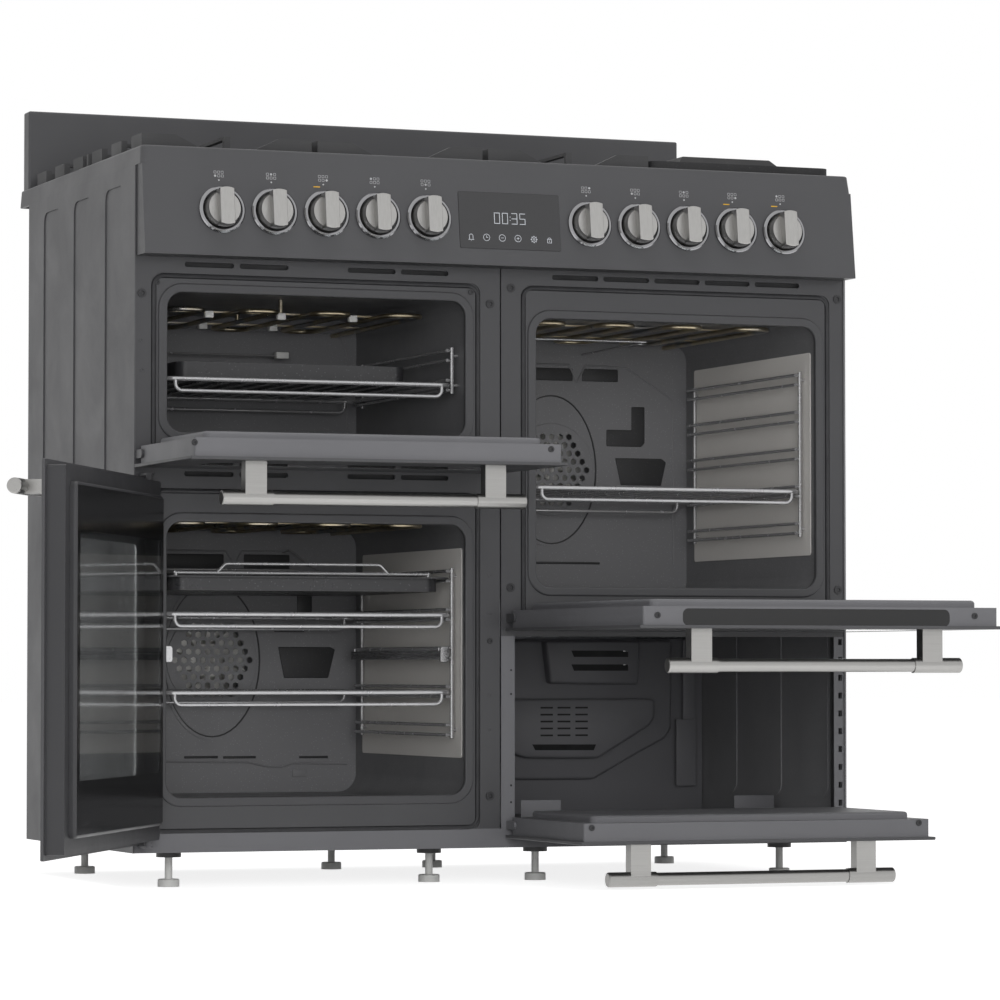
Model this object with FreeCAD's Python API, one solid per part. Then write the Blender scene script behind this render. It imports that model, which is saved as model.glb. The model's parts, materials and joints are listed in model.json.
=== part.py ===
"""Range cooker with a grill oven, a fan oven, a tall fan oven and a storage bay under one hob.

Millimetres. X runs to the right, Y to the back and Z up. The origin lies on the floor in the
middle of the footprint, and the doors stand open: three drop down and one swings to the left.
"""
import FreeCAD
import Part
import math
import os

V = FreeCAD.Vector
X_AXIS, Y_AXIS, Z_AXIS = V(1, 0, 0), V(0, 1, 0), V(0, 0, 1)
SIDES = (-1, 1)

# ---------------------------------------------------------------- driving dimensions
WIDTH = 1000.0              # across the closed doors
DEPTH = 600.0               # back of the worktop to the front of the carcass trim
FOOT_HEIGHT = 46.0          # floor to the carcass
CARCASS_HEIGHT = 872.5      # carcass bottom to the worktop seam
SHEET = 2.0                 # folded sheet of the carcass
SIDE_INSET = 1.0            # doors stand this much wider than the carcass
REAR_SETBACK = 58.0         # carcass back behind the worktop's back edge
DOOR_PROUD = 6.0            # door face in front of the nominal depth
RUN = 0.3                   # slack of a piece that slides on another

# doors, heights counted from the carcass bottom
CENTRE_GAP = 10.0
DOOR_BASE = 11.5
DOOR_HEAD = 729.0
LEFT_SPLIT = 481.0
RIGHT_SPLIT = 275.7
DOOR_SPACING = 11.0         # between one door and the next above it
DOOR_SEAL_GAP = 1.5         # closed door to the carcass front
SKIN = 4.0                  # outer door panel
DOOR_CORE = 23.0            # frame behind the panel
DOOR_SHEET = 2.0
DOOR_RAISE = 9.0            # raised middle of the inner face
CORE_INSET = 6.5            # panel edge to frame edge
RAISE_INSET = 18.5          # frame edge to the raised middle
GLASS = 4.0
GLASS_INSET = 5.0           # edge of the raised middle to the inner pane
GLASS_REST = 16.0           # the frame's ledge behind the inner pane
WINDOW_W = 385.0
WINDOW_MARGIN = 87.0        # window to the door's top and bottom
PANE_SLACK = 0.4
HINGE_UP = 18.0             # drop-down axis above the door's lower edge
HINGE_IN = 17.0             # drop-down axis behind the door's face
SWING_IN_X = 14.0           # side hinge axis inside the door's edge
SWING_IN_Y = 14.0           # side hinge axis behind the door's face
PIN_R = 4.0
PIN_CLEAR = 0.1
PIN_BITE = 14.0             # pin inside the door frame
BUSH_R = 7.0
LUG = 3.0
LUG_R = 5.5
SWING_OPEN = 120.0
DROP_OPEN = 90.0

# handles
HANDLE_LENGTH = 400.0
HANDLE_R = 8.2
SLEEVE_R = 9.5
SLEEVE_LENGTH = 66.0
SLEEVE_CAP = 5.0            # closed end of each sleeve
SLEEVE_ROUND = 2.0
HANDLE_REACH = 45.0         # door face to the bar's axis
HANDLE_INSET = 29.0         # door's free edge to the bar's axis
POST_SPACING = 315.0
POST_W = 27.5
POST_T = 17.0

# oven openings, heights counted from the carcass bottom
OPENING_W = 405.0
TL_SILL, TL_HEAD = 534.0, 712.0
TR_SILL, TR_HEAD = 340.5, 693.0
BL_SILL, BL_HEAD = 70.0, 420.0
OPENING_R = 20.0
FRAME_SHEET = 4.0           # front frame plate
LIP_PROUD = 2.5
LIP_W = 12.0
GROOVE_W = 7.0
GROOVE_DEPTH = 2.0
GROOVE_SIDE = 27.0          # door edge to the groove's middle
FRAME_SIDE_GAP = 1.0        # centre line to each front frame
CAVITY_MARGIN = 8.0         # cavity wider than its opening, each side
CAVITY_DEPTH = 450.0
CAVITY_WALL = 2.0
CAVITY_R = 26.0

# vents above the doors, heights counted from the carcass bottom
VENT_Z = 748.0
VENT_H = 6.5
VENT_L = 66.0
VENT_PITCH = 73.3
BL_VENT_Z = 475.5

# control panel
PANEL_BOTTOM = 757.0
PANEL_SIDE = 3.4            # panel end to the doors' outer side
PANEL_TOP_Y = -291.4
PANEL_BOTTOM_Y = -306.2
PANEL_SHEET = 2.5
KNOB_COUNT = 5              # in each of the two groups
KNOB_SPREAD = 0.0702        # knob spacing as a share of the cooker's width
KNOB_START = 0.1125         # first knob from the middle, likewise
KNOB_Z = 59.5               # up the slope from the panel's lower edge
KNOB_R = 25.0
KNOB_BODY = 13.0
KNOB_GRIP = 26.0
KNOB_GRIP_W = 19.0
KNOB_CLEAR = 1.0            # knob skirt to the panel
SHAFT_R = 3.0
SHAFT_CLEAR = 0.1
SHAFT_LENGTH = 22.0
BEZEL_R = 30.5
BEZEL_BORE = 26.5
BEZEL_H = 5.0
DISPLAY_W = 141.0
DISPLAY_H = 75.0
DISPLAY_T = 2.0

# worktop and splashback
WORKTOP_H = 24.0
WORKTOP_DRAFT = 2.0
WORKTOP_SIDE = 2.5          # worktop end to the doors' outer side
WORKTOP_FRONT = -291.4
WORKTOP_SKIN = 4.0
RIM_W = 10.0
WELL_DEPTH = 8.0
SPLASH_SIDE = 9.3           # splashback end to the doors' outer side
SPLASH_H = 110.0
SPLASH_T = 25.0

# hob
SUPPORT_W = 229.0
SUPPORT_PITCH = 237.0
SUPPORT_LEFT = -485.0
SUPPORT_FRONT = -250.0
SUPPORT_DEPTH = 500.0
BAR_W = 8.0
BAR_LOW = 11.0              # top of the low bars above the well
BAR_TOP = 27.5              # top of the pan rests above the well
REST_L = 45.0               # corner rests along the front
REST_SLOPE = 34.0
BAR_FOOT = 4.0              # underside of the side bars above the well
PAN_CLEAR = 4.5             # burner cap to the fingers
SIDE_RESTS = 6
SIDE_REST_L = 46.0
SMALL_BURNER_R = 38.0
WOK_BURNER_R = 62.0
BURNER_H = 12.0
CAP_H = 7.0
BURNER_OFFSET = 125.0       # small burners from the middle of the hob
GRIDDLE_W = 264.0
GRIDDLE_H = 22.0            # slab above the well
PLATEAU_W = 128.0
PLATEAU_H = 14.0
PLATEAU_DEPTH = 400.0
PLATEAU_FLARE = 14.0
GRIDDLE_R = 14.0
GRIDDLE_WALL = 6.0

# oven furniture
ROD_R = 3.0
RAIL_R = 2.2
LADDER_FRONT = -217.0
LADDER_REAR = 135.0
LADDER_OFFSET = 203.0       # ladder uprights from the oven's middle
RAIL_OFFSET = 195.0
UPRIGHT_R = 2.6
STUB_R = 1.8
PAIR_GAP = 13.0
PITCH = 50.4
TL_PITCH = 39.0
TL_TOP_RAIL = 651.0         # highest rail, from the carcass bottom
TR_TOP_RAIL = 631.0
BL_TOP_RAIL = 361.0
BIG_PAIRS = 5
SMALL_PAIRS = 2
LINER_T = 1.5
LINER_FRONT = -236.0
LINER_REAR = 150.0
LINER_MARGIN = 30.0         # liner past the outermost rails
SHELF_FRONT = -235.0
SHELF_REAR = 150.0
SHELF_DROP = 15.4           # upper front bar to the lower one
SHELF_R = 14.0              # bend of the shelf's frame
SHELF_IN = 12.0             # lower bar's end inside the shelf's side
SHELF_WIRES = 11
WIRE_R = 1.6
WIRE_UP = 1.2               # wires above the frame's middle, just under its top
TRAY_T = 2.0
TL_TRAY_W = 316.0
TL_TRAY_H = 24.0
TL_TRAY_FRONT = -165.0
TL_TRAY_L = 280.0
TRAY_DEPTH = 17.0
TRAY_LIP = 9.0
RACK_WIRES = 9
RACK_H = 21.0
RUNNER_H = 10.0
RUNNER_T = 4.0
PEG_H = 4.0
PEG_IN = 10.0
CAP_W = 12.0
CAP_TALL = 20.0
CAP_T = 5.0

# fans and elements
FAN_CAN_R = 95.0
FAN_CAN_DEPTH = 40.0
FAN_HOLE_R = 61.0
BAFFLE_R = 66.0
BAFFLE_T = 1.5
BEAD_X, BEAD_Z = 71.0, 108.0    # half sizes of the oval bead round the cover
BEAD_W = 5.0
HOLE_PITCH = 13.5
HOLE_R = 4.8
HOLE_RINGS = 4
FAN_R = 56.0
FAN_GAP = 6.0               # wall to the wheel's front
FAN_BLADE_H = 18.0
FAN_DISC = 1.5
FAN_BLADES = 10
FAN_SHAFT_R = 4.0
FAN_SHAFT_CLEAR = 0.08
RING_R = 84.0
RING_BACK = 14.0            # ring behind the oven's back wall
RING_TAIL = 12.0            # each tail beside the middle of the ring
ELEMENT_R = 3.2
TAIL_R = 2.6
TL_GRILL_DROP = 22.0        # grill element below the oven's roof
FAN_OVEN_GRILL_DROP = 6.5
GRILL_W = 350.0
GRILL_FRONT = -190.0
GRILL_REAR = 120.0
GRILL_LOOPS = 4

# storage bay
POST_FRONT_W = 15.0
PARTITION_X = 20.0
STORE_BACK = 200.0
BULGE_OUT = 34.0
BULGE_IN = 60.0             # partition to the pressing
BULGE_W = 330.0
BULGE_UP = 60.0             # bay floor to the pressing
BULGE_H = 120.0
BULGE_CUT = 60.0            # its sloping corner
SLOT_L = 22.0
SLOT_H = 4.0
SLOT_GAP = 10.0
SLOT_RISE = 12.0

# feet
FOOT_X = (75.0, 431.0)
FOOT_Y = (-200.0, 190.0)
FOOT_R = 14.0
FOOT_PAD = 10.0
COLLAR_R = 16.0             # dark collar where a foot enters the base
COLLAR_H = 8.0
STUD_R = 5.0
RAIL_H = 25.0
RAIL_W = 30.0

# gas elbow and cable terminal box on the back
GAS_X = -430.0
GAS_DROP = 90.0             # seam to the pipe's exit
GAS_OUT = 26.0              # carcass back to the hanging end
GAS_FALL = 28.0             # exit down to the nut
GAS_BEND = 12.0
GAS_PIPE_R = 8.0
GAS_FLANGE_R = 18.0
GAS_FLANGE_T = 4.0
GAS_NUT_R = 14.0
GAS_NUT_H = 12.0
THREAD_R = 10.4             # outside of the half-inch end
THREAD_L = 14.0
TERMINAL_X = (330.0, 430.0)
TERMINAL_UP = (90.0, 160.0)     # above the carcass bottom
TERMINAL_OUT = 34.0
TERMINAL_R = 6.0
GLAND_R = 12.0
GLAND_H = 16.0
GLAND_BORE = 7.0
GLAND_DEEP = 12.0

# ---------------------------------------------------------------- derived places
BOTTOM = FOOT_HEIGHT
SEAM = BOTTOM + CARCASS_HEIGHT
RIM_Z = SEAM + WORKTOP_H
WELL_Z = RIM_Z - WELL_DEPTH
BACK_EDGE = DEPTH / 2
CARCASS_BACK = BACK_EDGE - REAR_SETBACK
DOOR_FACE = -DEPTH / 2 - DOOR_PROUD
DOOR_THICK = SKIN + DOOR_CORE + DOOR_RAISE
CARCASS_FRONT = DOOR_FACE + DOOR_THICK + DOOR_SEAL_GAP
FRAME_Y = CARCASS_FRONT + LIP_PROUD
CARCASS_HALF = WIDTH / 2 - SIDE_INSET
INNER_HALF = CARCASS_HALF - SHEET
COLUMN_X = (WIDTH + CENTRE_GAP) / 4
PANEL_HALF = WIDTH / 2 - PANEL_SIDE
WORKTOP_HALF = WIDTH / 2 - WORKTOP_SIDE
SPLASH_HALF = WIDTH / 2 - SPLASH_SIDE
KNOB_PITCH = KNOB_SPREAD * WIDTH
KNOB_FIRST = KNOB_START * WIDTH
DOOR_W = (WIDTH - CENTRE_GAP) / 2
CAVITY_HALF = OPENING_W / 2 + CAVITY_MARGIN
CAVITY_FRONT = FRAME_Y + FRAME_SHEET
CAVITY_BACK = CARCASS_FRONT + CAVITY_DEPTH
PANEL_TILT = math.degrees(math.atan2(PANEL_TOP_Y - PANEL_BOTTOM_Y, CARCASS_HEIGHT - PANEL_BOTTOM))

OVENS = {
    "tl": {"x": -COLUMN_X, "sill": BOTTOM + TL_SILL, "head": BOTTOM + TL_HEAD, "fan": False,
           "grill": TL_GRILL_DROP, "rail": BOTTOM + TL_TOP_RAIL, "pitch": TL_PITCH, "pairs": SMALL_PAIRS},
    "tr": {"x": COLUMN_X, "sill": BOTTOM + TR_SILL, "head": BOTTOM + TR_HEAD, "fan": True,
           "grill": FAN_OVEN_GRILL_DROP, "rail": BOTTOM + TR_TOP_RAIL, "pitch": PITCH, "pairs": BIG_PAIRS},
    "bl": {"x": -COLUMN_X, "sill": BOTTOM + BL_SILL, "head": BOTTOM + BL_HEAD, "fan": True,
           "grill": FAN_OVEN_GRILL_DROP, "rail": BOTTOM + BL_TOP_RAIL, "pitch": PITCH, "pairs": BIG_PAIRS},
}
DOORS = {
    "tl": (-COLUMN_X, BOTTOM + LEFT_SPLIT + DOOR_SPACING / 2, BOTTOM + DOOR_HEAD),
    "tr": (COLUMN_X, BOTTOM + RIGHT_SPLIT + DOOR_SPACING / 2, BOTTOM + DOOR_HEAD),
    "bl": (-COLUMN_X, BOTTOM + DOOR_BASE, BOTTOM + LEFT_SPLIT - DOOR_SPACING / 2),
    "br": (COLUMN_X, BOTTOM + DOOR_BASE, BOTTOM + RIGHT_SPLIT - DOOR_SPACING / 2),
}


# ---------------------------------------------------------------- shape helpers
def box(x0, x1, y0, y1, z0, z1):
    return Part.makeBox(x1 - x0, y1 - y0, z1 - z0, V(x0, y0, z0))


def outline(a0, a1, b0, b1, r, at):
    """A rectangle with rounded corners; at(a, b) puts a flat point into space."""
    k = r * (1 - math.sqrt(0.5))
    edges = [
        Part.LineSegment(at(a0 + r, b0), at(a1 - r, b0)),
        Part.Arc(at(a1 - r, b0), at(a1 - k, b0 + k), at(a1, b0 + r)),
        Part.LineSegment(at(a1, b0 + r), at(a1, b1 - r)),
        Part.Arc(at(a1, b1 - r), at(a1 - k, b1 - k), at(a1 - r, b1)),
        Part.LineSegment(at(a1 - r, b1), at(a0 + r, b1)),
        Part.Arc(at(a0 + r, b1), at(a0 + k, b1 - k), at(a0, b1 - r)),
        Part.LineSegment(at(a0, b1 - r), at(a0, b0 + r)),
        Part.Arc(at(a0, b0 + r), at(a0 + k, b0 + k), at(a0 + r, b0)),
    ]
    return Part.Wire([e.toShape() for e in edges])


def plate(x0, x1, y0, y1, z0, z1, r):
    """A slab from y0 to y1 whose XZ outline has rounded corners."""
    return Part.Face(outline(x0, x1, z0, z1, r, lambda x, z: V(x, y0, z))).extrude(V(0, y1 - y0, 0))


def flat(x0, x1, y0, y1, z0, z1, r):
    """A slab from z0 to z1 whose XY outline has rounded corners."""
    return Part.Face(outline(x0, x1, y0, y1, r, lambda x, y: V(x, y, z0))).extrude(V(0, 0, z1 - z0))


def wall(x0, x1, y0, y1, z0, z1, r):
    """A slab from x0 to x1 whose YZ outline has rounded corners."""
    return Part.Face(outline(y0, y1, z0, z1, r, lambda y, z: V(x0, y, z))).extrude(V(x1 - x0, 0, 0))


def prism(points, direction):
    """Extrudes the closed polygon through these points."""
    return Part.Face(Part.makePolygon(points + points[:1])).extrude(direction)


def rod(a, b, r):
    a, b = V(*a), V(*b)
    return Part.makeCylinder(r, (b - a).Length, a, b - a)


def tube(points, bend, r):
    """A round bar along straight runs joined by arcs of radius bend."""
    points = [V(*p) for p in points]
    edges, start = [], points[0]
    for before, corner, after in zip(points, points[1:], points[2:]):
        into = (corner - before).normalize()
        out = (after - corner).normalize()
        half = into.getAngle(out) / 2
        cut = bend * math.tan(half)
        a, b = corner - into * cut, corner + out * cut
        middle = corner + (out - into).normalize() * (bend / math.cos(half) - bend)
        edges += [Part.LineSegment(start, a).toShape(), Part.Arc(a, middle, b).toShape()]
        start = b
    edges.append(Part.LineSegment(start, points[-1]).toShape())
    spine = Part.Wire(edges)
    section = Part.Wire([Part.Circle(points[0], points[1] - points[0], r).toShape()])
    return spine.makePipeShell([section], True, False)


def fuse(shapes):
    return shapes[0].multiFuse(shapes[1:]).removeSplitter() if len(shapes) > 1 else shapes[0]


def edges_where(shape, test):
    return [e for e in shape.Edges if test(e)]


def along(edge, axis):
    """True where a straight edge runs along axis."""
    return isinstance(edge.Curve, Part.Line) and abs(edge.tangentAt(edge.FirstParameter).dot(axis)) > 0.999


def mirrored(shape):
    return shape.mirror(V(0, 0, 0), X_AXIS)


# ---------------------------------------------------------------- carcass
SWAGE_Y = (83.0, -66.0, -215.0)     # front edge of each pressing
SWAGE_W = 82.0
SWAGE_DEPTH = 1.6
SWAGE_TOP = 20.0
SWAGE_BOTTOM = 60.0
SWAGE_R = 16.0


def swage(y, x0, x1, grow):
    """One long pressing of the side panel, grown for its inner face."""
    return wall(x0, x1, y - grow, y + SWAGE_W + grow, BOTTOM + SWAGE_BOTTOM - grow,
                SEAM - SWAGE_TOP + grow, SWAGE_R + grow)


def side_panel(side):
    """The right-hand panel, mirrored for the left one."""
    panel = box(INNER_HALF, CARCASS_HALF, CARCASS_FRONT, CARCASS_BACK, BOTTOM, SEAM)
    hem = box(INNER_HALF - POST_FRONT_W, INNER_HALF, CARCASS_BACK - SHEET, CARCASS_BACK, BOTTOM, SEAM)
    bumps = [swage(y, INNER_HALF - SWAGE_DEPTH, INNER_HALF, SHEET) for y in SWAGE_Y]
    pockets = [swage(y, CARCASS_HALF - SWAGE_DEPTH, CARCASS_HALF, 0) for y in SWAGE_Y]
    panel = fuse([panel, hem] + bumps).cut(Part.Compound(pockets))
    return panel if side > 0 else mirrored(panel)


LOUVRE_L = 90.0
LOUVRE_H = 6.0
LOUVRE_ROWS = 6
LOUVRE_COLUMNS = 4
LOUVRE_PITCH_X = 210.0
LOUVRE_PITCH_Z = 16.0


def back_panel():
    half = INNER_HALF - POST_FRONT_W
    panel = box(-half, half, CARCASS_BACK - SHEET, CARCASS_BACK, BOTTOM + RAIL_H, SEAM)
    slots = []
    for column in range(LOUVRE_COLUMNS):
        x = (column - (LOUVRE_COLUMNS - 1) / 2) * LOUVRE_PITCH_X
        for row in range(LOUVRE_ROWS):
            z = SEAM - SWAGE_BOTTOM - row * LOUVRE_PITCH_Z
            slots.append(box(x - LOUVRE_L / 2, x + LOUVRE_L / 2, CARCASS_BACK - 2 * SHEET,
                             CARCASS_BACK + SHEET, z - LOUVRE_H / 2, z + LOUVRE_H / 2))
    return panel.cut(Part.Compound(slots))


CROSS_RAIL_W = 20.0
POST_DEPTH = 28.0
POST_SLOT = 8.0
POST_SLOT_PITCH = 24.0


def post(x0, x1, y0, y1, z1):
    """A perforated upright of the storage bay, folded to an angle."""
    z0 = BOTTOM + RAIL_H
    upright = box(x0, x1, y0, y1, z0, z1).cut(
        box(x0 - 1, x1 - SHEET, y0 + SHEET, y1 + 1, z0 - 1, z1 + 1))
    holes = []
    z = z0 + POST_SLOT_PITCH
    while z < z1 - POST_SLOT:
        holes.append(box(x0 - 1 + (x1 - x0) / 2, x1 - SHEET - 1, y0 - 1, y0 + SHEET + 1,
                         z, z + POST_SLOT))
        z += POST_SLOT_PITCH
    return upright.cut(Part.Compound(holes))


def chassis():
    """The welded base frame, with the storage bay's posts and the lowest hinge lugs."""
    z0, z1 = BOTTOM, BOTTOM + RAIL_H
    y0, y1 = FRAME_Y, CARCASS_BACK - SHEET
    frame = box(-INNER_HALF, INNER_HALF, y0, y1, z0, z1)
    bay = (2 * INNER_HALF - 3 * RAIL_W) / 2
    holes = [box(side * (RAIL_W + bay) / 2 - bay / 2, side * (RAIL_W + bay) / 2 + bay / 2,
                 y0 + RAIL_W, y1 - RAIL_W, z0 - 1, z1 + 1) for side in SIDES]
    inside = [box(-INNER_HALF + SHEET, INNER_HALF - SHEET, y + SHEET, y + RAIL_W - SHEET,
                  z0 - 1, z1 - SHEET) for y in (y0, y1 - RAIL_W)]
    seats, arms = [], []
    for x in foot_places_x():
        arms.append(box(x - CROSS_RAIL_W / 2, x + CROSS_RAIL_W / 2, y0 + SHEET / 2, y1 - SHEET / 2,
                        z1 - 2 * SHEET, z1))
        seats += [box(x - FOOT_R - SHEET, x + FOOT_R + SHEET, y - FOOT_R - SHEET, y + FOOT_R + SHEET,
                      z0, z1) for y in FOOT_Y]
    frame = fuse([frame.cut(Part.Compound(holes + inside))] + seats + arms)
    bores = [Part.makeCylinder(STUD_R, RAIL_H - SHEET, V(x, y, z0 - 1))
             for x in foot_places_x() for y in FOOT_Y]
    top = BOTTOM + RIGHT_SPLIT
    right = post(INNER_HALF - POST_FRONT_W, INNER_HALF, FRAME_Y, FRAME_Y + POST_DEPTH, top)
    left = box(FRAME_SIDE_GAP, PARTITION_X, FRAME_Y, FRAME_Y + SHEET, z1, top)
    pieces = [frame.cut(Part.Compound(bores)), right, left] + drop_lugs(*DOORS["br"][:2])
    return fuse(pieces + [swing_lug(DOORS["bl"], -1)])


def foot_places_x():
    return [side * x for side in SIDES for x in FOOT_X]


def drop_lugs(x, z_bottom):
    """The pair of lugs and pins that carry a drop-down door."""
    y, z = DOOR_FACE + HINGE_IN, z_bottom + HINGE_UP
    lugs = []
    for side in SIDES:
        core = x + side * (DOOR_W / 2 - CORE_INSET)
        a, b = sorted((core + side * (PIN_CLEAR + RUN), core + side * (PIN_CLEAR + RUN + LUG)))
        lugs.append(fuse([
            rod((a, y, z), (b, y, z), LUG_R),
            box(a, b, y, FRAME_Y + SHEET, z - LUG_R, z + LUG_R),
            rod((b if side > 0 else a, y, z), (core - side * PIN_BITE, y, z), PIN_R),
        ]))
    return lugs


def swing_lug(door, end):
    """The lug and pin below (-1) or above (1) the side-hinged door."""
    x, z0, z1 = door
    px, py = x - DOOR_W / 2 + SWING_IN_X, DOOR_FACE + SWING_IN_Y
    edge = z0 if end < 0 else z1
    near, far = edge + end * DOOR_SEAL_GAP, edge + end * (DOOR_SEAL_GAP + LUG)
    a, b = sorted((near, far))
    return fuse([
        rod((px, py, a), (px, py, b), LUG_R),
        box(px - LUG_R, px + LUG_R, py, FRAME_Y + SHEET, a, b),
        rod((px, py, far), (px, py, edge - end * (CORE_INSET + PIN_BITE)), PIN_R),
    ])


def feet():
    pads = []
    for x in foot_places_x():
        for y in FOOT_Y:
            pad = Part.makeCylinder(FOOT_R, FOOT_PAD, V(x, y, 0))
            pad = pad.makeFillet(2, edges_where(pad, lambda e: e.Closed and e.BoundBox.ZMin > 1))
            stud = Part.makeCylinder(STUD_R - RUN / 3, BOTTOM - FOOT_PAD + RAIL_H - 3 * SHEET,
                                     V(x, y, FOOT_PAD))
            collar = Part.makeCylinder(COLLAR_R, COLLAR_H, V(x, y, BOTTOM - COLLAR_H))
            pads.append(fuse([pad, stud, collar]))
    return Part.Compound(pads)


# ---------------------------------------------------------------- oven fronts and cavities
def vents(x_first, count, z):
    slots = []
    for n in range(count):
        x = x_first + n * VENT_PITCH
        slots.append(plate(x, x + VENT_L, FRAME_Y - 1, FRAME_Y + FRAME_SHEET + 1,
                           z - VENT_H / 2, z + VENT_H / 2, VENT_H / 2 - 0.01))
    return slots


def groove(x, z0, z1):
    """The dark channel pressed round an oven front."""
    half = DOOR_W / 2 - GROOVE_SIDE
    g = GROOVE_W / 2
    y0, y1 = FRAME_Y - 1, FRAME_Y + GROOVE_DEPTH
    outer = plate(x - half - g, x + half + g, y0, y1, z0 - g, z1 + g, OPENING_R / 2 + g)
    inner = plate(x - half + g, x + half - g, y0 - 1, y1 + 1, z0 + g, z1 - g, OPENING_R / 2 - g)
    return outer.cut(inner)


def lip(x, z0, z1):
    """The rolled edge round an opening, with the collar that runs in to the cavity."""
    half = OPENING_W / 2
    ring = plate(x - half - LIP_W, x + half + LIP_W, CARCASS_FRONT, FRAME_Y + FRAME_SHEET,
                 z0 - LIP_W, z1 + LIP_W, OPENING_R + LIP_W)
    ring = ring.cut(plate(x - half, x + half, CARCASS_FRONT - 1, CAVITY_FRONT + 1, z0, z1, OPENING_R))
    front = edges_where(ring, lambda e: e.BoundBox.YMax < CARCASS_FRONT + 0.01)
    return ring.makeFillet(LIP_PROUD - 0.1, front)


def front_frame(x0, x1, z0, z1, names, slots):
    frame = box(x0, x1, FRAME_Y, FRAME_Y + FRAME_SHEET, z0, z1)
    half = OPENING_W / 2
    cuts, lips = list(slots), []
    for name in names:
        oven = OVENS[name]
        cuts.append(plate(oven["x"] - half, oven["x"] + half, FRAME_Y - 1, CAVITY_FRONT + 1,
                          oven["sill"], oven["head"], OPENING_R))
        lips.append(lip(oven["x"], oven["sill"], oven["head"]))
    return fuse([frame.cut(Part.Compound(cuts))] + lips)


GROOVE_TOP = 733.0
GROOVE_BASE = 27.0
FRAME_TOP = 60.0            # front frame above the panel's lower edge


def front_frames():
    top = BOTTOM + PANEL_BOTTOM + FRAME_TOP
    edge = INNER_HALF - RUN
    x = COLUMN_X
    left_first = -432.0
    left = vents(left_first, 2, BOTTOM + VENT_Z) + vents(left_first + 3 * VENT_PITCH, 2, BOTTOM + VENT_Z)
    left += vents(left_first, 2, BOTTOM + BL_VENT_Z + DOOR_SPACING / 2)
    left += vents(left_first + 3 * VENT_PITCH, 2, BOTTOM + BL_VENT_Z + DOOR_SPACING / 2)
    left.append(groove(-x, BOTTOM + LEFT_SPLIT + 2 * DOOR_SPACING, BOTTOM + GROOVE_TOP))
    left.append(groove(-x, BOTTOM + GROOVE_BASE, BOTTOM + LEFT_SPLIT - 2 * DOOR_SPACING))
    right = vents(72.8, 5, BOTTOM + VENT_Z)
    right.append(groove(x, BOTTOM + RIGHT_SPLIT + 2 * DOOR_SPACING, BOTTOM + GROOVE_TOP))
    left_frame = front_frame(-edge, -FRAME_SIDE_GAP, BOTTOM + RAIL_H, top, ("tl", "bl"), left)
    right_frame = front_frame(FRAME_SIDE_GAP, edge, BOTTOM + RIGHT_SPLIT, top, ("tr",), right)
    left_frame = fuse([left_frame, swing_lug(DOORS["bl"], 1)] + drop_lugs(*DOORS["tl"][:2]))
    right_frame = fuse([right_frame] + drop_lugs(*DOORS["tr"][:2]))
    return Part.Compound([left_frame, right_frame])


def cavity(oven):
    """An open-fronted enamelled box, with a fan can behind the larger ovens."""
    x, z0, z1 = oven["x"], oven["sill"] - CAVITY_MARGIN, oven["head"] + CAVITY_MARGIN
    w = CAVITY_WALL
    shell = plate(x - CAVITY_HALF - w, x + CAVITY_HALF + w, CAVITY_FRONT, CAVITY_BACK + w,
                  z0 - w, z1 + w, CAVITY_R + w)
    shell = shell.cut(plate(x - CAVITY_HALF, x + CAVITY_HALF, CAVITY_FRONT - 1, CAVITY_BACK,
                            z0, z1, CAVITY_R))
    if oven["fan"]:
        z = (z0 + z1) / 2
        can = rod((x, CAVITY_BACK, z), (x, CAVITY_BACK + FAN_CAN_DEPTH, z), FAN_CAN_R)
        room = rod((x, CAVITY_BACK, z), (x, CAVITY_BACK + FAN_CAN_DEPTH - w, z), FAN_CAN_R - w)
        hole = rod((x, CAVITY_BACK - 1, z), (x, CAVITY_BACK + w + 1, z), FAN_HOLE_R)
        bore = rod((x, CAVITY_BACK, z), (x, CAVITY_BACK + FAN_CAN_DEPTH + 1, z),
                   FAN_SHAFT_R + FAN_SHAFT_CLEAR)
        room = room.cut(rod((x, CAVITY_BACK, z), (x, CAVITY_BACK + w, z), FAN_CAN_R))
        shell = shell.fuse(can).cut(Part.Compound([room, hole, bore])).removeSplitter()
    return shell


def fan_centre(oven):
    return oven["x"], (oven["sill"] + oven["head"]) / 2


def oval(x, z, half_x, half_z, y0, y1):
    """A slab from y0 to y1 with an elliptical outline that is taller than it is wide."""
    ring = Part.Ellipse(V(x, y0, z + half_z), V(x + half_x, y0, z), V(x, y0, z)).toShape()
    return Part.Face(Part.Wire([ring])).extrude(V(0, y1 - y0, 0))


def fan_baffle(oven):
    """The round cover in front of the fan, pierced with rings of six-sided holes."""
    x, z = fan_centre(oven)
    y = CAVITY_BACK - BAFFLE_T
    disc = rod((x, y, z), (x, CAVITY_BACK, z), BAFFLE_R)
    disc = disc.makeFillet(BAFFLE_T * 0.6, edges_where(disc, lambda e: e.BoundBox.YMax < y + 0.01))
    holes = []
    steps = range(-HOLE_RINGS, HOLE_RINGS + 1)
    for p, q in [(p, q) for p in steps for q in steps if abs(p + q) <= HOLE_RINGS]:
        hx = x + HOLE_PITCH * (p + q / 2)
        hz = z + HOLE_PITCH * q * math.sqrt(0.75)
        points = [V(hx + HOLE_R * math.sin(n * math.pi / 3), y - 1, hz + HOLE_R * math.cos(n * math.pi / 3))
                  for n in range(6)]
        holes.append(prism(points, V(0, BAFFLE_T + 2, 0)))
    return disc.cut(Part.Compound(holes))


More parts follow.
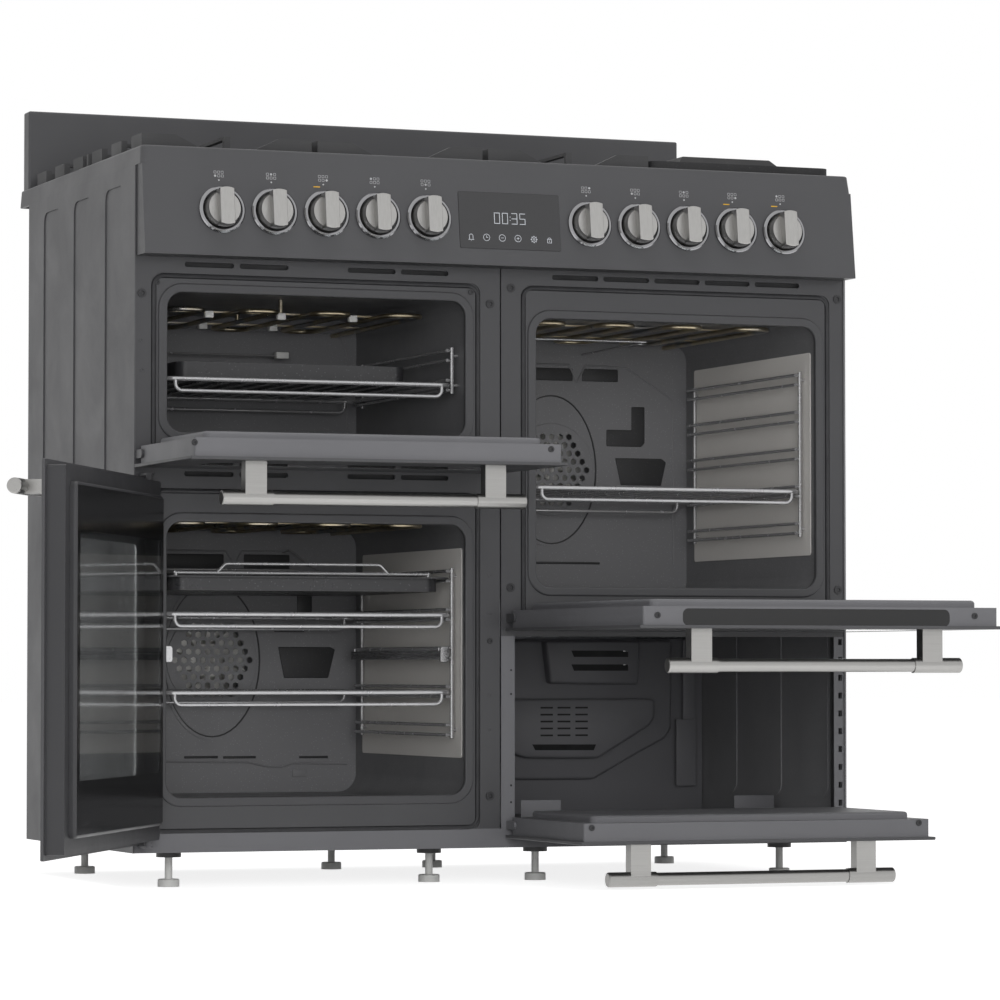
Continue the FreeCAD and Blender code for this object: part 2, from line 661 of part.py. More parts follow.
def fan_bead(oven):
    """The oval bead pressed into the back wall round the cover."""
    x, z = fan_centre(oven)
    y = CAVITY_BACK - BAFFLE_T
    bead = oval(x, z, BEAD_X + BEAD_W / 2, BEAD_Z + BEAD_W / 2, y, CAVITY_BACK)
    return bead.cut(oval(x, z, BEAD_X - BEAD_W / 2, BEAD_Z - BEAD_W / 2, y - 1, CAVITY_BACK + 1))


def fan_wheel(oven):
    """A flat wheel with bent blades on the motor's shaft."""
    x, z = fan_centre(oven)
    y0 = CAVITY_BACK + CAVITY_WALL + FAN_GAP
    y1 = y0 + FAN_BLADE_H
    disc = rod((x, y1, z), (x, y1 + FAN_DISC, z), FAN_R)
    hub = rod((x, y0 + FAN_GAP, z), (x, y1 + FAN_DISC, z), 3 * FAN_SHAFT_R)
    shaft = rod((x, y0 + FAN_GAP, z), (x, CARCASS_BACK - 3 * SHEET, z), FAN_SHAFT_R)
    root = FAN_R * 0.42
    blades = []
    for n in range(FAN_BLADES):
        blade = box(x + root, x + FAN_R - 2, y0, y1 + FAN_DISC / 2, z - FAN_DISC / 2, z + FAN_DISC / 2)
        blade.rotate(V(x + root, 0, z), Y_AXIS, 28)
        blade.rotate(V(x, 0, z), Y_AXIS, n * 360 / FAN_BLADES)
        blades.append(blade)
    return fuse([disc, hub, shaft] + blades)


def grill_element(oven):
    """A looped bar under the roof: its tails run into the back wall and two straps hold it."""
    x, z = oven["x"], oven["head"] + CAVITY_MARGIN - oven["grill"]
    runs = 2 * GRILL_LOOPS
    step = GRILL_W / (runs - 1)
    xs = [x - GRILL_W / 2 + n * step for n in range(runs)]
    points = [(xs[0], CAVITY_BACK, z)]
    for n in range(runs - 1):
        y = GRILL_FRONT if n % 2 == 0 else GRILL_REAR
        points += [(xs[n], y, z), (xs[n + 1], y, z)]
    points.append((xs[-1], CAVITY_BACK, z))
    pieces = [tube(points, step * 0.45, ELEMENT_R)]
    for y in (GRILL_FRONT * 0.6, GRILL_REAR * 0.6):
        pieces.append(box(xs[0], xs[-1], y - ELEMENT_R, y + ELEMENT_R, z + ELEMENT_R - 1, z + ELEMENT_R + 1))
        pieces.append(rod((x, y, z + ELEMENT_R), (x, y, oven["head"] + CAVITY_MARGIN), ELEMENT_R - RUN))
    return fuse(pieces)


def ring_element(oven):
    """The heating ring round the fan, with two tails through the back of its can."""
    x, z = fan_centre(oven)
    y = CAVITY_BACK + CAVITY_WALL + RING_BACK
    ring = Part.makeTorus(RING_R, ELEMENT_R, V(x, y, z), Y_AXIS)
    top = z + math.sqrt(RING_R ** 2 - RING_TAIL ** 2)
    tails = [rod((x + side * RING_TAIL, y, top),
                 (x + side * RING_TAIL, CAVITY_BACK + FAN_CAN_DEPTH - CAVITY_WALL, top), TAIL_R)
             for side in SIDES]
    return fuse([ring] + tails)


# ---------------------------------------------------------------- oven furniture
def rails_of(oven):
    """Heights of the upper and lower rail of each pair, from the top."""
    tops = [oven["rail"] - n * oven["pitch"] for n in range(oven["pairs"])]
    return [(z, z - PAIR_GAP) for z in tops]


def ladder(oven, side):
    """One side rack: two uprights, a rail pair for each level and four wall studs."""
    x = oven["x"] + side * LADDER_OFFSET
    rail_x = oven["x"] + side * RAIL_OFFSET
    face = oven["x"] + side * (CAVITY_HALF - (LINER_T if oven["fan"] else 0))
    pairs = rails_of(oven)
    top, low = pairs[0][0] + 2 * RAIL_R, pairs[-1][1] - 2 * RAIL_R
    bars = [rod((x, y, low), (x, y, top), UPRIGHT_R) for y in (LADDER_FRONT, LADDER_REAR)]
    for z in [z for pair in pairs for z in pair]:
        ends = (LADDER_FRONT - 2 * RAIL_R, LADDER_REAR + 2 * RAIL_R)
        bars.append(rod((rail_x, ends[0], z), (rail_x, ends[1], z), RAIL_R))
        bars += [rod((rail_x, y, z), (x, y, z), STUB_R) for y in (LADDER_FRONT, LADDER_REAR)]
    for z in (pairs[0][0] - PAIR_GAP / 2, pairs[-1][1] + PAIR_GAP / 2):
        bars += [rod((x, y, z), (face, y, z), STUB_R) for y in (LADDER_FRONT, LADDER_REAR)]
    return fuse(bars)


def runner_channel(side):
    """The fixed channel of a telescopic runner, clipped to the third rail pair."""
    x = OVENS["bl"]["x"]
    upper, lower = rails_of(OVENS["bl"])[2]
    outer = RAIL_OFFSET - RAIL_R / 2
    inner = outer - RAIL_R / 2 - RUNNER_T - 2 * RUN - LINER_T
    z0 = lower - RAIL_R
    a, b = sorted((x + side * outer, x + side * (outer - RAIL_R / 2 - LINER_T)))
    back = box(a, b, LADDER_FRONT, LADDER_REAR, z0, upper)
    a, b = sorted((x + side * outer, x + side * inner))
    return back.fuse(box(a, b, LADDER_FRONT, LADDER_REAR, z0, z0 + LINER_T)).removeSplitter()


def liner(oven, side):
    """The catalytic panel behind a side rack."""
    pairs = rails_of(oven)
    x0, x1 = sorted((oven["x"] + side * (CAVITY_HALF - LINER_T), oven["x"] + side * CAVITY_HALF))
    return wall(x0, x1, LINER_FRONT, LINER_REAR, pairs[-1][1] - LINER_MARGIN,
                pairs[0][0] + LINER_MARGIN, LINER_T * 3)


def ride_height(oven, level):
    """Height of a rod that lies on the lower rail of a level."""
    return rails_of(oven)[level][1] + RAIL_R + RUN + ROD_R


def shelf(oven, level):
    """A wire shelf: a bent frame that rides on the rails, wires, and a lower bar at each end."""
    x, z = oven["x"], ride_height(oven, level)
    half = RAIL_OFFSET - 1
    low = z - SHELF_DROP
    middle = (SHELF_FRONT + SHELF_REAR) / 2
    loop = tube([(x + half, middle, z), (x + half, SHELF_REAR, z), (x - half, SHELF_REAR, z),
                 (x - half, SHELF_FRONT, z), (x + half, SHELF_FRONT, z), (x + half, middle, z)],
                SHELF_R, ROD_R)
    bars = [loop]
    inner = half - SHELF_IN
    for y in (SHELF_FRONT, SHELF_REAR):
        bars.append(tube([(x - inner, y, z), (x - inner, y, low), (x + inner, y, low), (x + inner, y, z)],
                         3 * ROD_R, ROD_R - 0.6))
    pitch = 2 * inner / (SHELF_WIRES + 1)
    for n in range(1, SHELF_WIRES + 1):
        wire_x = x - inner + n * pitch
        bars.append(rod((wire_x, SHELF_FRONT, z + WIRE_UP), (wire_x, SHELF_REAR, z + WIRE_UP), WIRE_R))
    return fuse(bars)


def open_tray(x0, x1, y0, y1, z0, z1, r):
    """A pressed tray with one wall thickness all round."""
    tray = flat(x0, x1, y0, y1, z0, z1, r)
    return tray.cut(flat(x0 + TRAY_T, x1 - TRAY_T, y0 + TRAY_T, y1 - TRAY_T, z0 + TRAY_T, z1 + 1,
                         r - TRAY_T))


def tl_tray():
    x = OVENS["tl"]["x"]
    z = ride_height(OVENS["tl"], 1) + ROD_R + RUN
    return open_tray(x - TL_TRAY_W / 2, x + TL_TRAY_W / 2, TL_TRAY_FRONT, TL_TRAY_FRONT + TL_TRAY_L,
                     z, z + TL_TRAY_H, 14)


def bl_tray():
    """The deep tray that hangs by its flanges on the highest rails."""
    oven = OVENS["bl"]
    x = oven["x"]
    z = rails_of(oven)[0][1] + RAIL_R + RUN
    half = RAIL_OFFSET - RAIL_R - TRAY_LIP
    flange = flat(x - RAIL_OFFSET - 1, x + RAIL_OFFSET + 1, SHELF_FRONT, SHELF_REAR, z, z + TRAY_T, 12)
    pan = flat(x - half, x + half, SHELF_FRONT + TRAY_LIP, SHELF_REAR - TRAY_LIP, z - TRAY_DEPTH,
               z + TRAY_T, 20)
    room = flat(x - half + TRAY_T, x + half - TRAY_T, SHELF_FRONT + TRAY_LIP + TRAY_T,
                SHELF_REAR - TRAY_LIP - TRAY_T, z - TRAY_DEPTH + TRAY_T, z + TRAY_T + 1, 20 - TRAY_T)
    return fuse([flange, pan]).cut(room)


def bl_rack():
    """The wire grid that stands in the tray, with a raised handle at each end."""
    oven = OVENS["bl"]
    x = oven["x"]
    floor = rails_of(oven)[0][1] + RAIL_R + RUN - TRAY_DEPTH + TRAY_T
    half = RAIL_OFFSET - RAIL_R - TRAY_LIP - TRAY_T - 3 * ROD_R
    y0, y1 = SHELF_FRONT + 3 * TRAY_LIP, SHELF_REAR - 3 * TRAY_LIP
    z = floor + RACK_H
    bars = [rod((x - half, y, z), (x + half, y, z), WIRE_R + 0.8) for y in (y0, y1)]
    bars += [rod((x + side * half, y0, z), (x + side * half, y1, z), WIRE_R + 0.8) for side in SIDES]
    bars += [rod((x + side * half, y, floor), (x + side * half, y, z), WIRE_R + 0.8)
             for side in SIDES for y in (y0, y1)]
    pitch = 2 * half / (RACK_WIRES + 1)
    for n in range(1, RACK_WIRES + 1):
        bars.append(rod((x - half + n * pitch, y0, z), (x - half + n * pitch, y1, z), WIRE_R))
    handle_half = half * 0.68
    for y in (y0, y1):
        bars.append(tube([(x - handle_half, y, z), (x - handle_half * 0.9, y, z + 12),
                          (x + handle_half * 0.9, y, z + 12), (x + handle_half, y, z)], 8, WIRE_R + 0.4))
    return fuse(bars)


def bl_runners():
    """The sliding bars of the telescopic runners, with two pegs and a front cap each."""
    oven = OVENS["bl"]
    z = rails_of(oven)[2][1] - RAIL_R + LINER_T + RUN
    pieces = []
    for side in SIDES:
        far = RAIL_OFFSET - RAIL_R - LINER_T - RUN
        x0, x1 = sorted((oven["x"] + side * (far - RUNNER_T), oven["x"] + side * far))
        x = (x0 + x1) / 2
        bar = box(x0, x1, LADDER_FRONT, LADDER_REAR, z, z + RUNNER_H)
        pegs = [rod((x, y, z + RUNNER_H - 1), (x, y, z + RUNNER_H + PEG_H), RUNNER_T / 2)
                for y in (LADDER_FRONT + PEG_IN, LADDER_REAR - PEG_IN)]
        cap_y = LADDER_FRONT - 3 * RAIL_R
        cap = plate(x - CAP_W / 2, x + CAP_W / 2, cap_y - CAP_T, cap_y,
                    z - (CAP_TALL - RUNNER_H) / 2, z + (CAP_TALL + RUNNER_H) / 2, CAP_W / 4)
        neck = box(x0, x1, cap_y - CAP_T / 2, LADDER_FRONT, z, z + RUNNER_H)
        pieces.append(fuse([bar, cap, neck] + pegs))
    return Part.Compound(pieces)


# ---------------------------------------------------------------- storage bay
def storage_liner():
    """Partition, floor and back of the bay, with the back's louvred pressing."""
    top, floor = BOTTOM + RIGHT_SPLIT, BOTTOM + RAIL_H
    x0, x1 = PARTITION_X, INNER_HALF - SWAGE_DEPTH - RUN
    y = STORE_BACK
    partition = box(x0 - SHEET, x0, FRAME_Y + SHEET, y, floor, top)
    base = box(x0 - SHEET, x1, FRAME_Y + POST_DEPTH + SHEET, y, floor, floor + SHEET)
    back = box(x0 - SHEET, x1, y, y + SHEET, floor, top)
    bx0, bx1 = x0 + BULGE_IN, x0 + BULGE_IN + BULGE_W
    z0, z1 = floor + BULGE_UP, floor + BULGE_UP + BULGE_H

    def bulge(t, ya):
        points = [V(bx0 + t, ya, z0 + t), V(bx1 - BULGE_CUT, ya, z0 + t), V(bx1 - t, ya, z0 + BULGE_CUT),
                  V(bx1 - t, ya, z1 - t), V(bx0 + t, ya, z1 - t)]
        return prism(points, V(0, y + SHEET + t - ya, 0))

    slots = [bulge(SHEET, y - BULGE_OUT + SHEET)]
    for column in range(3):
        for row in range(5):
            sx = bx0 + BULGE_UP + column * (SLOT_L + SLOT_GAP)
            sz = z0 + SLOT_L + row * SLOT_RISE
            slots.append(box(sx, sx + SLOT_L, y - BULGE_OUT - 1, y - BULGE_OUT + SHEET + 1,
                             sz, sz + SLOT_H))
    return fuse([partition, base, back, bulge(0, y - BULGE_OUT)]).cut(Part.Compound(slots))


# ---------------------------------------------------------------- control panel
def on_panel(shape):
    """Moves a piece made on an upright panel to the sloping one."""
    shape = shape.copy()
    shape.rotate(V(0, 0, 0), X_AXIS, -PANEL_TILT)
    shape.translate(V(0, PANEL_BOTTOM_Y, BOTTOM + PANEL_BOTTOM))
    return shape


def knob_places():
    xs = [KNOB_FIRST + n * KNOB_PITCH for n in range(KNOB_COUNT)]
    return [-x for x in reversed(xs)] + xs


def control_panel():
    """A folded fascia: sloping front, returns at top and bottom and closed ends."""
    z0, z1 = BOTTOM + PANEL_BOTTOM, SEAM
    back = CARCASS_FRONT + LIP_PROUD
    profile = [V(-PANEL_HALF, PANEL_BOTTOM_Y, z0), V(-PANEL_HALF, PANEL_TOP_Y, z1),
               V(-PANEL_HALF, back, z1), V(-PANEL_HALF, back, z0)]
    body = prism(profile, V(2 * PANEL_HALF, 0, 0))
    t = PANEL_SHEET
    inner = [V(-PANEL_HALF + t, PANEL_BOTTOM_Y + t, z0 + t), V(-PANEL_HALF + t, PANEL_TOP_Y + t, z1 - t),
             V(-PANEL_HALF + t, back + 1, z1 - t), V(-PANEL_HALF + t, back + 1, z0 + t)]
    body = body.cut(prism(inner, V(2 * (PANEL_HALF - t), 0, 0)))
    holes = [on_panel(rod((x, -10, KNOB_Z), (x, 10, KNOB_Z), SHAFT_R + SHAFT_CLEAR))
             for x in knob_places()]
    recess = on_panel(plate(-DISPLAY_W / 2 - RUN, DISPLAY_W / 2 + RUN, -5, DISPLAY_T - 0.5,
                            KNOB_Z - DISPLAY_H / 2 - RUN, KNOB_Z + DISPLAY_H / 2 + RUN, 2))
    return body.cut(Part.Compound(holes + [recess]))


def display_glass():
    return on_panel(plate(-DISPLAY_W / 2, DISPLAY_W / 2, -0.5, DISPLAY_T - 0.5,
                          KNOB_Z - DISPLAY_H / 2, KNOB_Z + DISPLAY_H / 2, 2))


def knob_bezels():
    rings = []
    for x in knob_places():
        ring = rod((x, -BEZEL_H, KNOB_Z), (x, 0, KNOB_Z), BEZEL_R)
        ring = ring.makeChamfer(1.5, edges_where(ring, lambda e: e.BoundBox.YMax < -BEZEL_H + 0.01))
        rings.append(on_panel(ring.cut(rod((x, -BEZEL_H - 1, KNOB_Z), (x, 1, KNOB_Z), BEZEL_BORE))))
    return Part.Compound(rings)


def knob(x):
    """A turned skirt with an upright grip bar, on a shaft through the panel."""
    top = -KNOB_CLEAR - KNOB_BODY
    skirt = Part.makeCone(KNOB_R, KNOB_R - 4, KNOB_BODY, V(x, -KNOB_CLEAR, KNOB_Z), V(0, -1, 0))
    grip = box(x - KNOB_GRIP_W / 2, x + KNOB_GRIP_W / 2, -KNOB_CLEAR - KNOB_GRIP, top + 3,
               KNOB_Z - KNOB_R, KNOB_Z + KNOB_R)
    grip = grip.common(rod((x, -KNOB_CLEAR - KNOB_GRIP, KNOB_Z), (x, 0, KNOB_Z), KNOB_R - 0.5))
    front = edges_where(grip, lambda e: e.BoundBox.YMax < -KNOB_CLEAR - KNOB_GRIP + 0.01)
    grip = grip.makeFillet(1.5, front)
    shaft = rod((x, top, KNOB_Z), (x, SHAFT_LENGTH - 5, KNOB_Z), SHAFT_R)
    return on_panel(fuse([skirt, grip, shaft]))


# ---------------------------------------------------------------- worktop, splashback, hob
def worktop():
    """A pressed top: drafted skirt, raised rim, sunken well and a hollow underside."""
    d = WORKTOP_DRAFT
    low = outline(-WORKTOP_HALF, WORKTOP_HALF, WORKTOP_FRONT, BACK_EDGE, 8, lambda x, y: V(x, y, SEAM))
    high = outline(-WORKTOP_HALF + d, WORKTOP_HALF - d, WORKTOP_FRONT + 2 * d, BACK_EDGE, 8,
                   lambda x, y: V(x, y, RIM_Z))
    top = Part.makeLoft([low, high], True, True)
    top = top.makeFillet(3, edges_where(top, lambda e: e.BoundBox.ZMin > RIM_Z - 0.01))
    w = RIM_W
    well = flat(-WORKTOP_HALF + w, WORKTOP_HALF - w, WORKTOP_FRONT + w + 2 * d, BACK_EDGE - SPLASH_T - d,
                WELL_Z, RIM_Z + 1, 14)
    s = WORKTOP_SKIN + d
    under = flat(-WORKTOP_HALF + s, WORKTOP_HALF - s, WORKTOP_FRONT + s + d, BACK_EDGE - s, SEAM - 1,
                 WELL_Z - WORKTOP_SKIN, 5)
    return top.cut(well).cut(under)


def splashback():
    y0 = BACK_EDGE - SPLASH_T
    z0, z1 = RIM_Z, RIM_Z + SPLASH_H
    board = box(-SPLASH_HALF, SPLASH_HALF, y0, BACK_EDGE, z0, z1)
    board = board.makeFillet(3, edges_where(board, lambda e: e.BoundBox.ZMin > z1 - 0.01
                                            or along(e, Z_AXIS) and e.BoundBox.YMax < y0 + 0.01))
    t = PANEL_SHEET
    return board.cut(box(-SPLASH_HALF + t, SPLASH_HALF - t, y0 + t, BACK_EDGE + 1, z0 - 1, z1 - t))


def support_places():
    return [SUPPORT_LEFT + n * SUPPORT_PITCH for n in range(3)]


def burner_spots():
    """Centre and radius of each gas burner."""
    y = SUPPORT_FRONT + SUPPORT_DEPTH / 2
    spots = []
    for n, x0 in enumerate(support_places()):
        x = x0 + SUPPORT_W / 2
        if n == 1:
            spots.append((x, y, WOK_BURNER_R))
        else:
            spots += [(x, y - BURNER_OFFSET, SMALL_BURNER_R), (x, y + BURNER_OFFSET, SMALL_BURNER_R)]
    return spots


def burners():
    """Spreader cup, flame crown and cap of each burner."""
    heads = []
    for x, y, r in burner_spots():
        cup = Part.makeCone(r, r - 6, BURNER_H, V(x, y, WELL_Z))
        crown = Part.makeCylinder(r - 10, 4, V(x, y, WELL_Z + BURNER_H))
        cap = Part.makeCone(r - 5, r - 9, CAP_H, V(x, y, WELL_Z + BURNER_H + 3))
        heads.append(fuse([cup, crown, cap]))
    return Part.Compound(heads)


def rest_profile(x0, x1, y, rest_l, slope):
    """A bar whose ends rise to pan rests and whose middle dips to the rim."""
    z = WELL_Z
    points = [V(x0, y, z), V(x1, y, z), V(x1, y, z + BAR_TOP), V(x1 - rest_l, y, z + BAR_TOP),
              V(x1 - rest_l - slope, y, z + BAR_LOW), V(x0 + rest_l + slope, y, z + BAR_LOW),
              V(x0 + rest_l, y, z + BAR_TOP), V(x0, y, z + BAR_TOP)]
    return prism(points, V(0, BAR_W, 0))


def finger(x0, y0, x1, y1, z0):
    """A pan finger on the straight line between two points."""
    run = math.hypot(x1 - x0, y1 - y0)
    bar = box(0, run, -BAR_W / 2, BAR_W / 2, z0, WELL_Z + BAR_TOP)
    bar.rotate(V(0, 0, 0), Z_AXIS, math.degrees(math.atan2(y1 - y0, x1 - x0)))
    bar.translate(V(x0, y0, 0))
    return bar


def root(x, y, foot):
    """The full-height stretch of a side bar that a finger grows from."""
    return box(x - BAR_W / 2, x + BAR_W / 2, y - BAR_W, y + BAR_W, foot, WELL_Z + BAR_TOP)


def pan_support(n):
    """One cast section: end bars with corner rests, castellated sides and fingers."""
    x0 = support_places()[n]
    x1 = x0 + SUPPORT_W
    y0, y1 = SUPPORT_FRONT, SUPPORT_FRONT + SUPPORT_DEPTH
    middle, centre = (x0 + x1) / 2, (y0 + y1) / 2
    low, foot = WELL_Z + BAR_LOW, WELL_Z + BAR_FOOT
    under = WELL_Z + BURNER_H + CAP_H + PAN_CLEAR
    bars = [rest_profile(x0, x1, y, REST_L, REST_SLOPE) for y in (y0, y1 - BAR_W)]
    pitch = (SUPPORT_DEPTH - SIDE_REST_L) / (SIDE_RESTS - 1)
    for x in (x0, x1 - BAR_W):
        bars.append(box(x, x + BAR_W, y0, y1, foot, low))
        bars += [box(x, x + BAR_W, y0 + k * pitch, y0 + k * pitch + SIDE_REST_L, foot, WELL_Z + BAR_TOP)
                 for k in range(SIDE_RESTS)]
    edge = SUPPORT_W / 2 - BAR_W / 2
    for bx, by, r in [spot for spot in burner_spots() if abs(spot[0] - middle) < 1]:
        tip = r * 0.5
        if n == 1:
            reach = (SIDE_RESTS // 2 + 1) * pitch - SUPPORT_DEPTH / 2 + BAR_W / 2
            for side in SIDES:
                bars += [finger(bx + side * edge, by + turn * reach, bx + side * tip, by + turn * tip, under)
                         for turn in SIDES]
                bars.append(root(bx + side * edge, by, foot))
                bars.append(finger(bx + side * edge, by, bx + side * tip, by, under))
        else:
            for side in SIDES:
                bars.append(root(bx + side * edge, by, foot))
                bars.append(finger(bx + side * edge, by, bx + side * tip, by, under))
                far = centre if (by - centre) * side < 0 else centre + side * (SUPPORT_DEPTH / 2 - 1)
                bars.append(finger(bx, far, bx, by + side * tip, under))
    if n != 1:
        bars.append(box(x0, x1, centre - BAR_W / 2, centre + BAR_W / 2, foot, WELL_Z + BAR_TOP))
        bars += [box(middle - BAR_W / 2, middle + BAR_W / 2, y, y + BAR_W, WELL_Z, WELL_Z + BAR_TOP)
                 for y in (y0, y1 - BAR_W)]
    return fuse(bars)


def griddle():
    """The cast plate with its raised, sloping-sided middle."""
    x0 = SUPPORT_LEFT + 3 * SUPPORT_PITCH - (SUPPORT_PITCH - SUPPORT_W) / 2
    x1 = x0 + GRIDDLE_W
    y0, y1 = SUPPORT_FRONT, SUPPORT_FRONT + SUPPORT_DEPTH
    top = WELL_Z + GRIDDLE_H
    slab = flat(x0, x1, y0, y1, WELL_Z, top, GRIDDLE_R)
    x, y = (x0 + x1) / 2, (y0 + y1) / 2

    def ring(grow, z):
        w, d = PLATEAU_W / 2 + grow, PLATEAU_DEPTH / 2 + grow
        corners = [V(x - w, y - d, z), V(x + w, y - d, z), V(x + w, y + d, z), V(x - w, y + d, z)]
        return Part.makePolygon(corners + corners[:1])

    plateau = Part.makeLoft([ring(PLATEAU_FLARE, top - 1), ring(0, top + PLATEAU_H)], True, True)
    body = fuse([slab, plateau])
    body = body.makeFillet(4, edges_where(body, lambda e: e.BoundBox.ZMin > top + PLATEAU_H - 0.01))
    t = WORKTOP_SKIN
    return body.cut(flat(x0 + t, x1 - t, y0 + t, y1 - t, WELL_Z - 1, top - GRIDDLE_WALL, GRIDDLE_R - t))


# ---------------------------------------------------------------- doors
def to_open(shape, name):
    """Turns a piece made on the closed door to where the open door holds it."""
    x, z0, _ = DOORS[name]
    shape = shape.copy()
    if name == "bl":
        pivot = V(x - DOOR_W / 2 + SWING_IN_X, DOOR_FACE + SWING_IN_Y, 0)
        shape.rotate(pivot, Z_AXIS, -SWING_OPEN)
    else:
        shape.rotate(V(0, DOOR_FACE + HINGE_IN, z0 + HINGE_UP), X_AXIS, DROP_OPEN)
    return shape


def window(name, grow, y0, y1):
    x, z0, z1 = DOORS[name]
    return plate(x - WINDOW_W / 2 - grow, x + WINDOW_W / 2 + grow, y0, y1,
                 z0 + WINDOW_MARGIN - grow, z1 - WINDOW_MARGIN + grow, 10 + grow)


def has_window(name):
    return name != "br"


def door_panel(name):
    x, z0, z1 = DOORS[name]
    panel = plate(x - DOOR_W / 2, x + DOOR_W / 2, DOOR_FACE, DOOR_FACE + SKIN, z0, z1, 2)
    panel = panel.makeFillet(1.2, edges_where(panel, lambda e: e.BoundBox.YMax < DOOR_FACE + 0.01))
    if has_window(name):
        panel = panel.cut(window(name, PANE_SLACK, DOOR_FACE - 1, DOOR_FACE + SKIN + 1))
    return to_open(panel, name)


def hinge_bushes(name, r, reach):
    """Round bars on the hinge line at both ends of a door, from its edge inwards."""
    x, z0, z1 = DOORS[name]
    i = CORE_INSET
    if name == "bl":
        px, py = x - DOOR_W / 2 + SWING_IN_X, DOOR_FACE + SWING_IN_Y
        return [rod((px, py, z0 + i), (px, py, z0 + i + reach), r),
                rod((px, py, z1 - i), (px, py, z1 - i - reach), r)]
    y, z = DOOR_FACE + HINGE_IN, z0 + HINGE_UP
    edge = DOOR_W / 2 - i
    return [rod((x + side * edge, y, z), (x + side * (edge - reach), y, z), r) for side in SIDES]


def door_core(name):
    """The folded frame with its raised middle, hollow behind, with a bush at each hinge pin."""
    x, z0, z1 = DOORS[name]
    t, glass = DOOR_SHEET, GLASS if has_window(name) else 0
    y0 = DOOR_FACE + SKIN
    y1, y2 = y0 + DOOR_CORE, y0 + DOOR_CORE + DOOR_RAISE

    def inset(d, ya, yb, r):
        return plate(x - DOOR_W / 2 + d, x + DOOR_W / 2 - d, ya, yb, z0 + d, z1 - d, r)

    i = CORE_INSET
    j = i + RAISE_INSET
    raised = inset(j, y1 - t, y2, 10)
    raised = raised.makeFillet(4, edges_where(raised, lambda e: e.BoundBox.YMin > y2 - 0.01))
    core = fuse([inset(i, y0, y1, 3), raised])
    core = core.cut(Part.Compound([inset(i + t, y0 - 1, y1 - t, 2),
                                   inset(j + 2 * t, y0 - 1, y2 - glass - t, 6)]))
    core = fuse([core] + hinge_bushes(name, BUSH_R, PIN_BITE + t))
    cuts = hinge_bushes(name, PIN_R + PIN_CLEAR, PIN_BITE + 1)
    if has_window(name):
        k = j + GLASS_INSET
        cuts += [inset(k - PANE_SLACK, y2 - GLASS, y2 + 1, 4), inset(k + GLASS_REST, y1, y2 + 1, 4)]
    return to_open(core.cut(Part.Compound(cuts)), name)


def door_glass(name):
    """The outer pane, flush in the panel, and the wider inner pane."""
    x, z0, z1 = DOORS[name]
    k = CORE_INSET + RAISE_INSET + GLASS_INSET
    back = DOOR_FACE + DOOR_THICK
    outer = window(name, 0, DOOR_FACE, DOOR_FACE + SKIN)
    inner = plate(x - DOOR_W / 2 + k, x + DOOR_W / 2 - k, back - GLASS, back, z0 + k, z1 - k, 4)
    return to_open(Part.Compound([outer, inner]), name)


def door_handle(name):
    """A bar between two flat posts, its ends in thicker sleeves."""
    x, _, z1 = DOORS[name]
    y = DOOR_FACE - HANDLE_REACH
    half = HANDLE_LENGTH / 2
    z = z1 - HANDLE_INSET
    bar = rod((x - half + SLEEVE_CAP, y, z), (x + half - SLEEVE_CAP, y, z), HANDLE_R)
    pieces = [bar]
    for side in SIDES:
        sleeve = rod((x + side * half, y, z), (x + side * (half - SLEEVE_LENGTH), y, z), SLEEVE_R)
        sleeve = sleeve.makeFillet(SLEEVE_ROUND, edges_where(sleeve, lambda e: e.Closed and
                                                  abs(abs(e.BoundBox.Center.x - x) - half) < 1))
        post_x = x + side * POST_SPACING / 2
        pieces += [sleeve, box(post_x - POST_W / 2, post_x + POST_W / 2, y, DOOR_FACE,
                               z - POST_T / 2, z + POST_T / 2)]
    return to_open(fuse(pieces), name)


# ---------------------------------------------------------------- rear services
def service_inlets():
    """Gas elbow and cable terminal box on the back, both bare."""
    exit_z = SEAM - GAS_DROP
    down_y = CARCASS_BACK + GAS_OUT
    nut_z = exit_z - GAS_FALL
    elbow = fuse([
        tube([(GAS_X, CARCASS_BACK, exit_z), (GAS_X, down_y, exit_z), (GAS_X, down_y, nut_z)],
             GAS_BEND, GAS_PIPE_R),
        rod((GAS_X, CARCASS_BACK, exit_z), (GAS_X, CARCASS_BACK + GAS_FLANGE_T, exit_z), GAS_FLANGE_R),
        rod((GAS_X, down_y, nut_z), (GAS_X, down_y, nut_z - GAS_NUT_H), GAS_NUT_R),
        rod((GAS_X, down_y, nut_z - GAS_NUT_H), (GAS_X, down_y, nut_z - GAS_NUT_H - THREAD_L), THREAD_R),
    ])
    low, high = (BOTTOM + up for up in TERMINAL_UP)
    cover = plate(*TERMINAL_X, CARCASS_BACK, CARCASS_BACK + TERMINAL_OUT, low, high, TERMINAL_R)
    x, y = sum(TERMINAL_X) / 2, CARCASS_BACK + TERMINAL_OUT / 2
    gland = rod((x, y, low - GLAND_H), (x, y, low), GLAND_R)
    mouth = rod((x, y, low - GLAND_H - 1), (x, y, low - GLAND_H + GLAND_DEEP), GLAND_BORE)
    return Part.Compound([elbow, fuse([cover, gland]).cut(mouth)])


